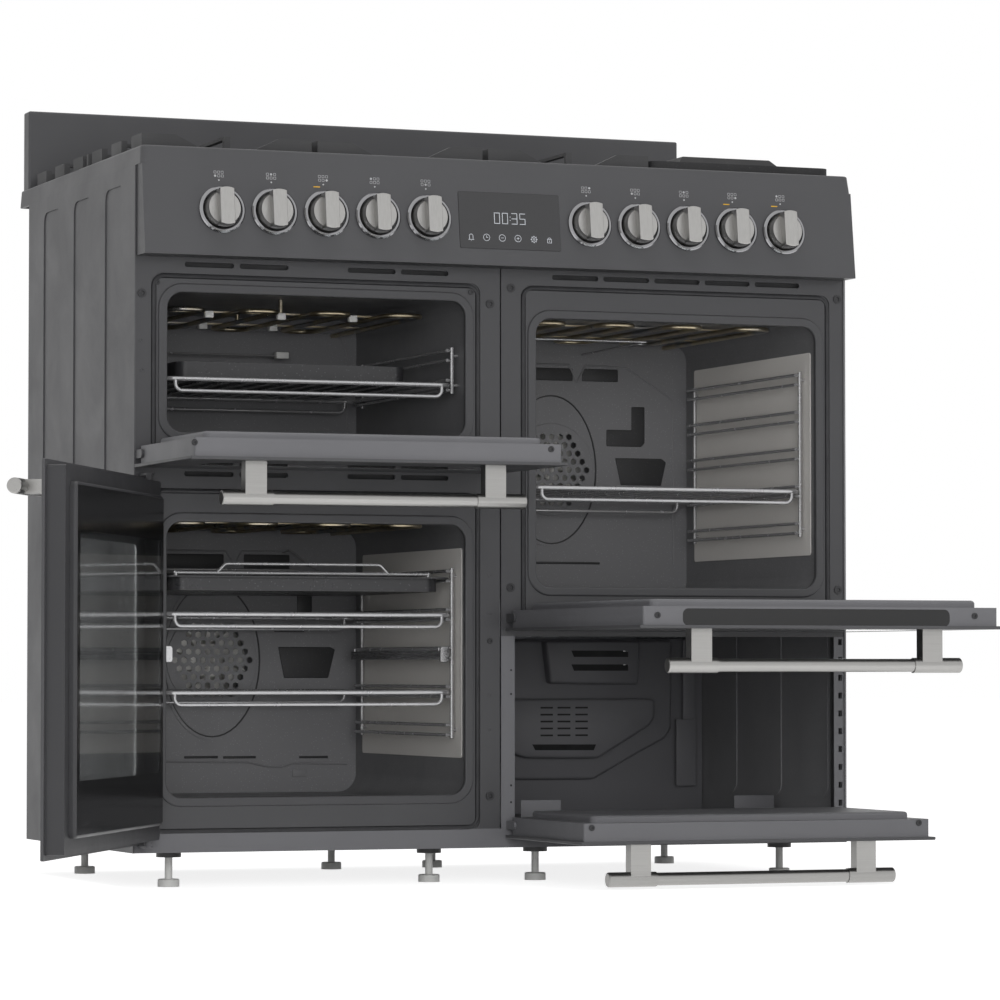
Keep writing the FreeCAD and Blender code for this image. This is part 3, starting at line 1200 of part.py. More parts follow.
def build():
    nodes = {
        "side_panel_left": side_panel(-1),
        "side_panel_right": side_panel(1),
        "back_panel": back_panel(),
        "chassis": chassis(),
        "feet": feet(),
        "worktop": worktop(),
        "splashback": splashback(),
        "control_panel": control_panel(),
        "display_glass": display_glass(),
        "knob_bezels": knob_bezels(),
        "front_frames": front_frames(),
        "storage_liner": storage_liner(),
        "burners": burners(),
        "griddle": griddle(),
        "service_inlets": service_inlets(),
        "tl_shelf": shelf(OVENS["tl"], 1),
        "tl_tray": tl_tray(),
        "tr_shelf": shelf(OVENS["tr"], 3),
        "bl_tray": bl_tray(),
        "bl_rack": bl_rack(),
        "bl_shelf_upper": shelf(OVENS["bl"], 1),
        "bl_shelf_lower": shelf(OVENS["bl"], 3),
        "bl_runners": bl_runners(),
    }
    fans = [OVENS["tr"], OVENS["bl"]]
    nodes["fan_baffles"] = Part.Compound([f(o) for o in fans for f in (fan_baffle, fan_bead)])
    nodes["heating_elements"] = Part.Compound([ring_element(o) for o in fans]
                                              + [grill_element(oven) for oven in OVENS.values()])
    racks = {(name, s): ladder(o, s) for name, o in OVENS.items() for s in SIDES}
    for s in SIDES:
        racks["bl", s] = fuse([racks["bl", s], runner_channel(s)])
    nodes["shelf_rails"] = Part.Compound(list(racks.values()))
    nodes["oven_liners"] = Part.Compound([liner(o, s) for o in fans for s in SIDES])
    nodes["tr_fan"], nodes["bl_fan"] = (fan_wheel(o) for o in fans)
    for name, oven in OVENS.items():
        nodes[name + "_cavity"] = cavity(oven)
    for n, place in enumerate(("left", "middle", "right")):
        nodes["pan_support_" + place] = pan_support(n)
    for n, x in enumerate(knob_places()):
        nodes[f"knob_{n + 1:02d}"] = knob(x)
    for name in DOORS:
        nodes[name + "_door_panel"] = door_panel(name)
        nodes[name + "_door_core"] = door_core(name)
        nodes[name + "_handle"] = door_handle(name)
        if has_window(name):
            nodes[name + "_door_glass"] = door_glass(name)
    return nodes


os.makedirs("parts", exist_ok=True)
for node, shape in build().items():
    shape.exportStep(f"parts/{node}.step")
    solids = shape.Solids
    print(f"{node:20s} solids {len(solids)} valid {shape.isValid()} volume {shape.Volume:.0f}")
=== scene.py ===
# %% [markdown]
# # Dressing a range cooker with a double oven
#
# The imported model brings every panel, door, shelf and knob in metres and in its place. This lesson gives
# each of them its finish, and adds the small things that a solid model leaves out: printed signs, screws,
# gaskets, pressings, wire mesh and lamps. Read it cell by cell: every step first says what the real thing is.

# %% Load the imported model
import json
import math

import bmesh
import bpy
from mathutils import Matrix, Vector


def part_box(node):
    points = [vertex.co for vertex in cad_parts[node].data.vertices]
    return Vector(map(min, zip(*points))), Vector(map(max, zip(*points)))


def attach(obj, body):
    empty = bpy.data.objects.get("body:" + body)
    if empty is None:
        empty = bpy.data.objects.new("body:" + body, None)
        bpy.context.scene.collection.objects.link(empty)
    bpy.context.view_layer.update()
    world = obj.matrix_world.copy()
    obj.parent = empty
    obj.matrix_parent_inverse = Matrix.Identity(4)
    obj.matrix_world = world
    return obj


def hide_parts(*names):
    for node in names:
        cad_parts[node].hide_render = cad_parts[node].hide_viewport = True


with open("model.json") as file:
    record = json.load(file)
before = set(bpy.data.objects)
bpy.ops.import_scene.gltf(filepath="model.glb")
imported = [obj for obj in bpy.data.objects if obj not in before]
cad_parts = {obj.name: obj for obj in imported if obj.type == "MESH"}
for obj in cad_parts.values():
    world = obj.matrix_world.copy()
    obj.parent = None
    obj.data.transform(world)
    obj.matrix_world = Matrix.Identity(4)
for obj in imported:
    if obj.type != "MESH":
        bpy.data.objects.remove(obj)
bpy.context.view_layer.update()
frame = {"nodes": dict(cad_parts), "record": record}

# %% [markdown]
# ## The camera
#
# A shop picture of a cooker is taken with a long lens from low down and a little to the left, so upright
# edges stay nearly parallel. The camera stands almost six metres away, and its lens is chosen so that the
# cooker fills the frame. Looking along a direction is easiest with a quaternion that turns -Z into it.

# %% Camera
CAMERA_AT = Vector((-2.07099, -5.55998, 0.27839))
CAMERA_LOOKS = Vector((0.36394, 0.93062, 0.03888))

lens = bpy.data.cameras.new("product_camera")
lens.lens = 156.6
lens.sensor_width = 36.0
camera = bpy.data.objects.new("product_camera", lens)
camera.location = CAMERA_AT
camera.rotation_mode = "QUATERNION"
camera.rotation_quaternion = CAMERA_LOOKS.to_track_quat("-Z", "Y")
bpy.context.collection.objects.link(camera)
bpy.context.scene.camera = camera
print("camera to cooker:", round(CAMERA_AT.length, 2), "m")

# %% [markdown]
# ## Helpers for shader nodes
#
# Colours are picked from a picture as 0-255 values, but shaders want linear light, so `paint` converts them.
# `put` adds one node, sets it up and wires its inputs in one line, which keeps each recipe readable from
# top to bottom. `new_effect` starts a node group with named inputs and outputs, so that one effect can be
# shared by many finishes, each with its own numbers.

# %% Shader helpers
def paint(red, green, blue):
    """A picture's 0-255 colour as a linear colour."""
    def linear(v):
        v /= 255
        return v / 12.92 if v <= 0.04045 else ((v + 0.055) / 1.055) ** 2.4
    return (linear(red), linear(green), linear(blue), 1.0)


def put(tree, kind, wires=None, **settings):
    """Adds a node with its settings; each wire is a value or the socket that feeds that input."""
    node = tree.nodes.new(kind)
    for name, value in settings.items():
        setattr(node, name, value)
    for name, value in (wires or {}).items():
        if isinstance(value, bpy.types.NodeSocket):
            tree.links.new(value, node.inputs[name])
        else:
            node.inputs[name].default_value = value
    return node


def new_effect(title, inputs, outputs):
    """An empty node group with its sockets, and the nodes that stand for its inputs and outputs."""
    group = bpy.data.node_groups.new(title, "ShaderNodeTree")
    for name, kind, value in inputs:
        socket = group.interface.new_socket(name=name, in_out="INPUT", socket_type=kind)
        if value is not None:
            socket.default_value = value
    for name, kind in outputs:
        group.interface.new_socket(name=name, in_out="OUTPUT", socket_type=kind)
    return group, group.nodes.new("NodeGroupInput").outputs, group.nodes.new("NodeGroupOutput").inputs


def feed(tree, socket, target):
    tree.links.new(socket, target)


NUMBER, COLOUR, VECTOR = "NodeSocketFloat", "NodeSocketColor", "NodeSocketVector"

# %% [markdown]
# ## Effect: powder coat
#
# The grey body is steel under baked powder. Close up it has a fine orange-peel grain, and over a whole
# panel the tone drifts a little where the coat is thicker. Two noises do this: a fine one for the bump
# and a broad one that mixes two nearly equal greys.

# %% Powder coat
powder, given, gives = new_effect(
    "Powder coat",
    [("Position", VECTOR, None), ("Grain", NUMBER, 700.0), ("Drift", NUMBER, 4.0),
     ("Colour", COLOUR, None), ("Thick colour", COLOUR, None)],
    [("Colour", COLOUR), ("Height", NUMBER), ("Patches", NUMBER)])
grain = put(powder, "ShaderNodeTexNoise",
            {"Vector": given["Position"], "Scale": given["Grain"], "Detail": 1.5, "Roughness": 0.55})
drift = put(powder, "ShaderNodeTexNoise",
            {"Vector": given["Position"], "Scale": given["Drift"], "Detail": 3.0, "Roughness": 0.6})
patches = put(powder, "ShaderNodeMapRange", {"Value": drift.outputs["Fac"], "From Min": 0.35,
                                             "From Max": 0.65})
tinted = put(powder, "ShaderNodeMix", {"Factor": patches.outputs["Result"], 6: given["Colour"],
                                       7: given["Thick colour"]}, data_type="RGBA")
feed(powder, tinted.outputs[2], gives["Colour"])
feed(powder, grain.outputs["Fac"], gives["Height"])
feed(powder, patches.outputs["Result"], gives["Patches"])

# %% [markdown]
# ## Effect: brushed streaks
#
# Bars, knobs and runners are metal that was rubbed with a belt, which leaves hair-fine lines in one
# direction. A noise is squeezed along that direction by a Mapping node, so its blobs turn into hairs.

# %% Brushed streaks
brushed, given, gives = new_effect(
    "Brushed streaks",
    [("Position", VECTOR, None), ("Squeeze", VECTOR, (1.0, 1.0, 1.0)), ("Bright", COLOUR, None),
     ("Dull", COLOUR, None), ("Smooth", NUMBER, 0.2), ("Rough", NUMBER, 0.4)],
    [("Colour", COLOUR), ("Roughness", NUMBER), ("Height", NUMBER)])
pulled = put(brushed, "ShaderNodeMapping", {"Vector": given["Position"], "Scale": given["Squeeze"]})
hairs = put(brushed, "ShaderNodeTexNoise", {"Vector": pulled.outputs[0], "Scale": 60.0, "Detail": 4.0,
                                            "Roughness": 0.7})
tinted = put(brushed, "ShaderNodeMix", {"Factor": hairs.outputs["Fac"], 6: given["Bright"], 7: given["Dull"]},
             data_type="RGBA")
polish = put(brushed, "ShaderNodeMapRange", {"Value": hairs.outputs["Fac"], "From Min": 0.3, "From Max": 0.7,
                                             "To Min": given["Smooth"], "To Max": given["Rough"]})
feed(brushed, tinted.outputs[2], gives["Colour"])
feed(brushed, polish.outputs["Result"], gives["Roughness"])
feed(brushed, hairs.outputs["Fac"], gives["Height"])

# %% [markdown]
# ## Effect: enamel flecks
#
# The oven walls are glass enamel, fired on black with tiny pale flecks. A Voronoi texture has one point per
# cell; where the distance to that point is small there is a fleck. Each cell's own random colour decides
# whether it has one at all, so that the flecks don't form a grid.

# %% Enamel flecks
flecked, given, gives = new_effect(
    "Enamel flecks",
    [("Position", VECTOR, None), ("Spacing", NUMBER, 260.0), ("Size", NUMBER, 0.22), ("Colour", COLOUR, None),
     ("Fleck", COLOUR, None)],
    [("Colour", COLOUR), ("Flecks", NUMBER)])
cells = put(flecked, "ShaderNodeTexVoronoi", {"Vector": given["Position"], "Scale": given["Spacing"]})
near = put(flecked, "ShaderNodeMath", {0: cells.outputs["Distance"], 1: given["Size"]}, operation="LESS_THAN")
chance = put(flecked, "ShaderNodeSeparateColor", {"Color": cells.outputs["Color"]})
chosen = put(flecked, "ShaderNodeMath", {0: chance.outputs["Red"], 1: 0.55}, operation="GREATER_THAN")
spot = put(flecked, "ShaderNodeMath", {0: near.outputs[0], 1: chosen.outputs[0]}, operation="MULTIPLY")
tinted = put(flecked, "ShaderNodeMix", {"Factor": spot.outputs[0], 6: given["Colour"], 7: given["Fleck"]},
             data_type="RGBA")
feed(flecked, tinted.outputs[2], gives["Colour"])
feed(flecked, spot.outputs[0], gives["Flecks"])

# %% [markdown]
# ## Effect: handled surface
#
# Nothing stays evenly glossy. Wiping and fingers leave soft cloudy areas where a reflection spreads more.
# This group turns a cloudy noise into a roughness between two limits.

# %% Handled surface
handled, given, gives = new_effect(
    "Handled surface",
    [("Position", VECTOR, None), ("Size", NUMBER, 9.0), ("Smooth", NUMBER, 0.3), ("Rough", NUMBER, 0.5)],
    [("Roughness", NUMBER)])
clouds = put(handled, "ShaderNodeTexNoise", {"Vector": given["Position"], "Scale": given["Size"], "Detail": 5.0,
                                             "Roughness": 0.65, "Distortion": 0.4})
spread = put(handled, "ShaderNodeMapRange", {"Value": clouds.outputs["Fac"], "From Min": 0.3, "From Max": 0.7,
                                             "To Min": given["Smooth"], "To Max": given["Rough"]})
feed(handled, spread.outputs["Result"], gives["Roughness"])

# %% [markdown]
# ## Effect: settled dust
#
# A matt film gathers on faces that look up, more in the corners of a noise than elsewhere. Geometry's
# normal tells which faces look up, whatever the camera does.

# %% Settled dust
dusty, given, gives = new_effect(
    "Settled dust",
    [("Position", VECTOR, None), ("Amount", NUMBER, 0.25), ("Colour", COLOUR, None), ("Dust", COLOUR, None)],
    [("Colour", COLOUR)])
facing = put(dusty, "ShaderNodeNewGeometry")
upward = put(dusty, "ShaderNodeSeparateXYZ", {"Vector": facing.outputs["Normal"]})
settles = put(dusty, "ShaderNodeMapRange", {"Value": upward.outputs["Z"], "From Min": 0.3, "From Max": 1.0})
film = put(dusty, "ShaderNodeTexNoise", {"Vector": given["Position"], "Scale": 35.0, "Detail": 4.0})
amount = put(dusty, "ShaderNodeMath", {0: settles.outputs["Result"], 1: film.outputs["Fac"]},
             operation="MULTIPLY")
scaled = put(dusty, "ShaderNodeMath", {0: amount.outputs[0], 1: given["Amount"]}, operation="MULTIPLY")
tinted = put(dusty, "ShaderNodeMix", {"Factor": scaled.outputs[0], 6: given["Colour"], 7: given["Dust"]},
             data_type="RGBA")
feed(dusty, tinted.outputs[2], gives["Colour"])

# %% [markdown]
# ## Starting a finish
#
# Each finish keeps its own Principled BSDF, and values that are the same all over it are set on the shader
# itself. Only what changes over the surface comes from the groups. Object coordinates are used throughout:
# every piece has its place in its mesh, so a pattern runs on across neighbouring panels as on one sheet.

# %% Starting a finish
def new_finish(title, **constants):
    """A material with its shader, and the object coordinates that its patterns read."""
    made = bpy.data.materials.new(title)
    made.use_nodes = True
    tree = made.node_tree
    shader = tree.nodes["Principled BSDF"]
    for name, value in constants.items():
        shader.inputs[name.replace("_", " ")].default_value = value
    return made, tree, shader, put(tree, "ShaderNodeTexCoord").outputs["Object"]


def effect(tree, group, **wires):
    """Places one of the shared groups in a finish."""
    node = put(tree, "ShaderNodeGroup", node_tree=group)
    for name, value in wires.items():
        name = name.replace("_", " ")
        if isinstance(value, bpy.types.NodeSocket):
            tree.links.new(value, node.inputs[name])
        else:
            node.inputs[name].default_value = value
    return node


def raise_by(tree, shader, height, strength, depth):
    """A bump of that depth in metres on the shader's normal."""
    bump = put(tree, "ShaderNodeBump", {"Height": height, "Strength": strength, "Distance": depth})
    feed(tree, bump.outputs["Normal"], shader.inputs["Normal"])


# %% [markdown]
# ## Coated steel
#
# The body, worktop and doors are one charcoal powder coat; the plates round the oven mouths are the same
# grey in a smoother coat, set a little darker as painted shade; the storage bay's liner is a little darker.
# One builder serves them all.

# %% Coated steels
def coated(title, shade, thick, smooth, rough, grain=700.0, depth=0.00004, dust=0.1):
    made, tree, shader, at = new_finish(title, IOR=1.45)
    coat = effect(tree, powder, Position=at, Grain=grain, Colour=shade, Thick_colour=thick)
    film = effect(tree, dusty, Position=at, Amount=dust, Colour=coat.outputs["Colour"],
                  Dust=paint(150, 148, 144))
    feed(tree, film.outputs["Colour"], shader.inputs["Base Color"])
    worn = effect(tree, handled, Position=at, Smooth=smooth, Rough=rough)
    feed(tree, worn.outputs["Roughness"], shader.inputs["Roughness"])
    raise_by(tree, shader, coat.outputs["Height"], 0.35, depth)
    return made


charcoal = coated("charcoal powder coat", paint(72, 72, 74), paint(69, 69, 71), 0.42, 0.55)
# The oven-mouth plates are the body's grey made a little darker: painted shade.
shaded_frame_grey = coated("oven mouth steel with painted shade", paint(65, 65, 67), paint(62, 62, 64), 0.36, 0.48, grain=500.0)
bay_grey = coated("storage bay steel", paint(104, 104, 107), paint(99, 99, 102), 0.40, 0.55)
door_grey = coated("door frame steel", paint(52, 52, 54), paint(48, 48, 50), 0.36, 0.48)
print("coated finishes:", charcoal.name, "|", shaded_frame_grey.name, "|", bay_grey.name)

# %% [markdown]
# ## Vitreous enamel
#
# Inside the ovens the steel carries fired glass enamel: nearly black, a little glossy, with pale flecks and
# a faintly uneven surface. Trays have the same enamel. The removable side liners carry a matt, porous
# enamel that burns off fat, so it is paler and scatters light evenly.

# %% Enamels
def enamelled(title, shade, fleck, smooth, rough, spacing, depth):
    made, tree, shader, at = new_finish(title, IOR=1.5)
    flecks = effect(tree, flecked, Position=at, Spacing=spacing, Size=0.2, Colour=shade, Fleck=fleck)
    film = effect(tree, dusty, Position=at, Amount=0.08, Colour=flecks.outputs["Colour"],
                  Dust=paint(120, 118, 115))
    feed(tree, film.outputs["Colour"], shader.inputs["Base Color"])
    worn = effect(tree, handled, Position=at, Size=14.0, Smooth=smooth, Rough=rough)
    feed(tree, worn.outputs["Roughness"], shader.inputs["Roughness"])
    coat = effect(tree, powder, Position=at, Grain=220.0)
    raise_by(tree, shader, coat.outputs["Height"], 0.25, depth)
    return made


oven_enamel = enamelled("black oven enamel", paint(112, 112, 114), paint(134, 134, 136), 0.34, 0.48, 330.0,
                        0.00010)
tray_enamel = enamelled("tray enamel", paint(44, 44, 46), paint(86, 86, 88), 0.24, 0.38, 260.0, 0.00008)
liner_enamel = enamelled("porous liner enamel", paint(214, 211, 207), paint(224, 221, 217), 0.62, 0.80, 480.0,
                         0.00016)

# %% [markdown]
# ## Bare and plated metal
#
# Handles, knobs and bezels are brushed, shelves and ladders are chromed wire, runners are bright drawn
# steel. All use the brushed streaks group, each with its own direction: along the bar for handles, across
# the grip for knobs, and hardly any for chrome. Chromed wire is set a little less metallic, so that it
# stays pale inside a dark oven. The fan wheels are dull tin.

# %% Metals
def metal(title, bright, dull, squeeze, smooth, rough, mirror=1.0):
    made, tree, shader, at = new_finish(title, Metallic=mirror)
    rubbed = effect(tree, brushed, Position=at, Squeeze=squeeze, Bright=bright, Dull=dull,
                    Smooth=smooth, Rough=rough)
    feed(tree, rubbed.outputs["Colour"], shader.inputs["Base Color"])
    feed(tree, rubbed.outputs["Roughness"], shader.inputs["Roughness"])
    raise_by(tree, shader, rubbed.outputs["Height"], 0.2, 0.00003)
    return made


handle_metal = metal("brushed handle steel", paint(172, 171, 169), paint(156, 155, 153), (0.12, 9.0, 9.0),
                     0.26, 0.40)
knob_metal = metal("brushed knob metal", paint(182, 181, 179), paint(164, 163, 161), (9.0, 9.0, 0.6),
                   0.28, 0.44)
bezel_chrome = metal("bezel chrome", paint(158, 158, 160), paint(140, 140, 142), (1.0, 1.0, 1.0), 0.08, 0.20)
wire_chrome = metal("chromed wire", paint(196, 196, 197), paint(170, 170, 172), (1.0, 1.0, 1.0), 0.16, 0.30,
                    mirror=0.65)
runner_metal = metal("drawn runner steel", paint(205, 205, 206), paint(180, 180, 182), (9.0, 0.1, 9.0),
                     0.18, 0.32)
fan_metal = metal("fan wheel tin", paint(226, 225, 222), paint(204, 203, 200), (1.0, 1.0, 1.0), 0.35, 0.55)
print("metals share the group:", brushed.name)

# %% [markdown]
# ## Galvanised sheet
#
# The back of the cooker is zinc-dipped steel. Zinc freezes in crystals, the spangle, which catch the light
# as flat flakes of slightly different grey. A Voronoi texture colours each cell by its own random value.

# %% Galvanised sheet
galvanised, tree, shader, at = new_finish("galvanised sheet", Metallic=1.0)
flakes = put(tree, "ShaderNodeTexVoronoi", {"Vector": at, "Scale": 85.0, "Randomness": 1.0})
flake = put(tree, "ShaderNodeSeparateColor", {"Color": flakes.outputs["Color"]})
grey = put(tree, "ShaderNodeMix", {"Factor": flake.outputs["Green"], 6: paint(166, 168, 172),
                                   7: paint(184, 186, 190)}, data_type="RGBA")
glint = put(tree, "ShaderNodeMapRange", {"Value": flake.outputs["Red"], "To Min": 0.42, "To Max": 0.52})
feed(tree, grey.outputs[2], shader.inputs["Base Color"])
feed(tree, glint.outputs["Result"], shader.inputs["Roughness"])
raise_by(tree, shader, flakes.outputs["Distance"], 0.1, 0.0001)

# %% [markdown]
# ## Cast iron and the griddle
#
# Pan supports are sand-cast iron under matt enamel: the sand leaves a coarse skin that a strong bump from
# the powder group copies at a larger scale. The griddle is cast aluminium with a smooth non-stick coat in
# which tiny mineral flecks show.

# %% Cast iron and griddle
cast_iron = coated("matt cast iron", paint(66, 66, 67), paint(58, 58, 59), 0.55, 0.72, grain=420.0,
                   depth=0.00022, dust=0.18)
griddle_coat = enamelled("non-stick griddle coat", paint(40, 40, 41), paint(66, 66, 66), 0.62, 0.76, 420.0,
                         0.00006)

# %% [markdown]
# ## Heating elements
#
# A sheathed element is steel tube that has been red hot, so it carries temper colours: straw, bronze and
# a little blue that change along its length. A slow noise picks from a colour ramp.

# %% Heating elements
element_tint, tree, shader, at = new_finish("heat-tinted sheath", Metallic=1.0)
heat = put(tree, "ShaderNodeTexNoise", {"Vector": at, "Scale": 14.0, "Detail": 2.0})
temper = put(tree, "ShaderNodeValToRGB", {"Fac": heat.outputs["Fac"]})
ramp = temper.color_ramp
ramp.elements[0].position, ramp.elements[0].color = 0.32, paint(176, 164, 140)
ramp.elements[1].position, ramp.elements[1].color = 0.68, paint(160, 161, 164)
ramp.elements.new(0.5).color = paint(200, 188, 160)
feed(tree, temper.outputs["Color"], shader.inputs["Base Color"])
worn = effect(tree, handled, Position=at, Size=30.0, Smooth=0.25, Rough=0.45)
feed(tree, worn.outputs["Roughness"], shader.inputs["Roughness"])

# %% [markdown]
# ## Glass
#
# The door panes are clear, slightly grey glass that light passes through, so Transmission Weight is set on
# the shader and only the wiped look of the surface comes from a group. The display is a dark glass plate:
# nothing shows through it, so it is an opaque black with a glossy clear coat.

# %% Glass
pane_glass, tree, shader, at = new_finish("oven pane glass", IOR=1.5, Transmission_Weight=1.0)
shader.inputs["Base Color"].default_value = paint(248, 250, 250)
wiped = effect(tree, handled, Position=at, Size=6.0, Smooth=0.015, Rough=0.06)
feed(tree, wiped.outputs["Roughness"], shader.inputs["Roughness"])

display_black = enamelled("display glass", paint(40, 40, 42), paint(42, 42, 44), 0.10, 0.18, 900.0, 0.00002)
display_black.node_tree.nodes["Principled BSDF"].inputs["Coat Weight"].default_value = 0.3

frit_black = enamelled("printed black border", paint(22, 22, 23), paint(26, 26, 27), 0.12, 0.2, 900.0,
                       0.00002)

# %% [markdown]
# ## Plastic and rubber
#
# Gaskets, plugs and caps are moulded: slightly mottled, with a fine spark-eroded grain from the mould. One
# recipe with other values gives them all. A foot is a dark nylon collar on a pale stilt; both are one
# solid, so a mask from the height above the floor divides the two colours.

# %% Plastics
def moulded(title, shade, mottle, smooth, rough, grain=900.0):
    made, tree, shader, at = new_finish(title, IOR=1.48)
    skin = effect(tree, powder, Position=at, Grain=grain, Drift=40.0, Colour=shade, Thick_colour=mottle)
    feed(tree, skin.outputs["Colour"], shader.inputs["Base Color"])
    worn = effect(tree, handled, Position=at, Size=30.0, Smooth=smooth, Rough=rough)
    feed(tree, worn.outputs["Roughness"], shader.inputs["Roughness"])
    raise_by(tree, shader, skin.outputs["Height"], 0.3, 0.00003)
    return made


gasket_rubber = moulded("dark silicone", paint(44, 44, 46), paint(38, 38, 40), 0.5, 0.68, grain=600.0)
cap_plastic = moulded("pale cap plastic", paint(214, 214, 212), paint(202, 202, 200), 0.35, 0.5)
screw_black = moulded("blackened screw", paint(40, 40, 42), paint(34, 34, 36), 0.34, 0.46)

foot_pair, tree, shader, at = new_finish("nylon collar and pale stilt", IOR=1.48)
height = put(tree, "ShaderNodeSeparateXYZ", {"Vector": at})
collar = put(tree, "ShaderNodeMath", {0: height.outputs["Z"], 1: 0.0375}, operation="GREATER_THAN")
speckle = effect(tree, powder, Position=at, Grain=900.0, Drift=40.0, Colour=paint(206, 206, 204),
                 Thick_colour=paint(196, 196, 194))
two_tone = put(tree, "ShaderNodeMix", {"Factor": collar.outputs[0], 6: speckle.outputs["Colour"],
                                       7: paint(46, 46, 47)}, data_type="RGBA")
feed(tree, two_tone.outputs[2], shader.inputs["Base Color"])
worn = effect(tree, handled, Position=at, Size=30.0, Smooth=0.4, Rough=0.55)
feed(tree, worn.outputs["Roughness"], shader.inputs["Roughness"])

# %% [markdown]
# ## Painted light inside one panel
#
# The right side panel is charcoal outside. Inside the storage bay the partition keeps it in shade, so there
# it is painted a paler grey: painted light. The panel is one solid, so the tone follows the position:
# everything that lies further in than the outer face takes the paler grey.

# %% Right side panel
panel_lit_inside, tree, shader, at = new_finish("panel with painted light inside", IOR=1.45)
across = put(tree, "ShaderNodeSeparateXYZ", {"Vector": at})
inner = put(tree, "ShaderNodeMath", {0: across.outputs["X"], 1: 0.4984}, operation="LESS_THAN")
outer_coat = effect(tree, powder, Position=at, Colour=paint(71, 71, 73), Thick_colour=paint(68, 68, 71))
# The paler grey is painted light for the face that stands in the partition's shade.
painted_light_grey = effect(tree, powder, Position=at, Grain=500.0, Colour=paint(128, 128, 130),
                Thick_colour=paint(120, 120, 122))
either = put(tree, "ShaderNodeMix", {"Factor": inner.outputs[0], 6: outer_coat.outputs["Colour"],
                                     7: painted_light_grey.outputs["Colour"]}, data_type="RGBA")
feed(tree, either.outputs[2], shader.inputs["Base Color"])
worn = effect(tree, handled, Position=at, Smooth=0.42, Rough=0.55)
feed(tree, worn.outputs["Roughness"], shader.inputs["Roughness"])
raise_by(tree, shader, outer_coat.outputs["Height"], 0.35, 0.00004)

# %% [markdown]
# ## Every solid gets its finish
#
# Each CAD solid names a material slot in the record. A table turns slots into finishes, and a few nodes
# that share a slot but differ on the real cooker are listed by name.

# %% Finishes of the solids
SLOT_FINISH = {
    "charcoal_enamel": charcoal, "galvanised": galvanised, "frame_steel": bay_grey, "foot_plastic": foot_pair,
    "display": display_black, "handle_steel": handle_metal, "cavity_enamel": oven_enamel,
    "element": element_tint, "chrome_wire": wire_chrome, "liner_grey": liner_enamel,
    "cast_black": cast_iron, "black_glass": pane_glass, "knob_metal": knob_metal,
    "griddle_coat": griddle_coat, "runner_steel": runner_metal,
}
NODE_FINISH = {"front_frames": shaded_frame_grey, "knob_bezels": bezel_chrome, "tl_tray": tray_enamel,
               "bl_tray": tray_enamel, "bl_door_core": door_grey, "tr_fan": fan_metal, "bl_fan": fan_metal,
               "side_panel_right": panel_lit_inside}
for part in frame["record"]["subparts"]:
    solid = frame["nodes"][part["node"]]
    finish = NODE_FINISH.get(part["node"], SLOT_FINISH[part["material_slot"]])
    for material_slot in solid.material_slots:
        material_slot.material = finish

# %% [markdown]
# ## Modelling helpers
#
# Small fittings are built from a few operators. `block` is a cube stretched between two corners with its
# edges bevelled, `bar` is a cylinder laid between two points, `screw` is a short cylinder whose end face is
# inset and pushed in for the driver. `fit` turns a finished bmesh into an object, gives it its finish and
# lets it ride on the body that carries it.

# %% Modelling helpers
def block(bm, low, high, edge=0.0):
    """A box between two corners, with its edges rounded."""
    low, high = Vector(low), Vector(high)
    place = Matrix.Translation((low + high) / 2) @ Matrix.Diagonal((*(high - low), 1.0))
    made = bmesh.ops.create_cube(bm, size=1.0, matrix=place)["verts"]
    if edge:
        bmesh.ops.bevel(bm, geom=list({e for v in made for e in v.link_edges}), offset=edge, segments=2,
                        profile=0.5, affect="EDGES", material=-1)


def bar(bm, start, end, radius, sides=10):
    """A round bar between two points; returns its vertices."""
    start, end = Vector(start), Vector(end)
    turn = (end - start).to_track_quat("Z", "Y").to_matrix().to_4x4()
    return bmesh.ops.create_cone(bm, cap_ends=True, segments=sides, radius1=radius, radius2=radius,
                                 depth=(end - start).length,
                                 matrix=Matrix.Translation((start + end) / 2) @ turn)["verts"]


def route(bm, points, radius, sides=8):
    """A bent wire: bars from point to point, with a ball in every bend."""
    for a, b in zip(points, points[1:]):
        bar(bm, a, b, radius, sides)
    for p in points[1:-1]:
        bmesh.ops.create_uvsphere(bm, u_segments=sides, v_segments=sides // 2, radius=radius,
                                  matrix=Matrix.Translation(p))


def screw(bm, place, outward, radius, height=0.0012):
    """A flat screw head with a recess."""
    outward = Vector(outward).normalized()
    head = bar(bm, Vector(place) - outward * 0.0003, Vector(place) + outward * height, radius, 18)
    face = max({f for v in head for f in v.link_faces}, key=lambda f: f.calc_center_median().dot(outward))
    bmesh.ops.inset_individual(bm, faces=[face], thickness=radius * 0.5, depth=0.0)
    bmesh.ops.inset_individual(bm, faces=[face], thickness=radius * 0.08, depth=-height * 0.9)


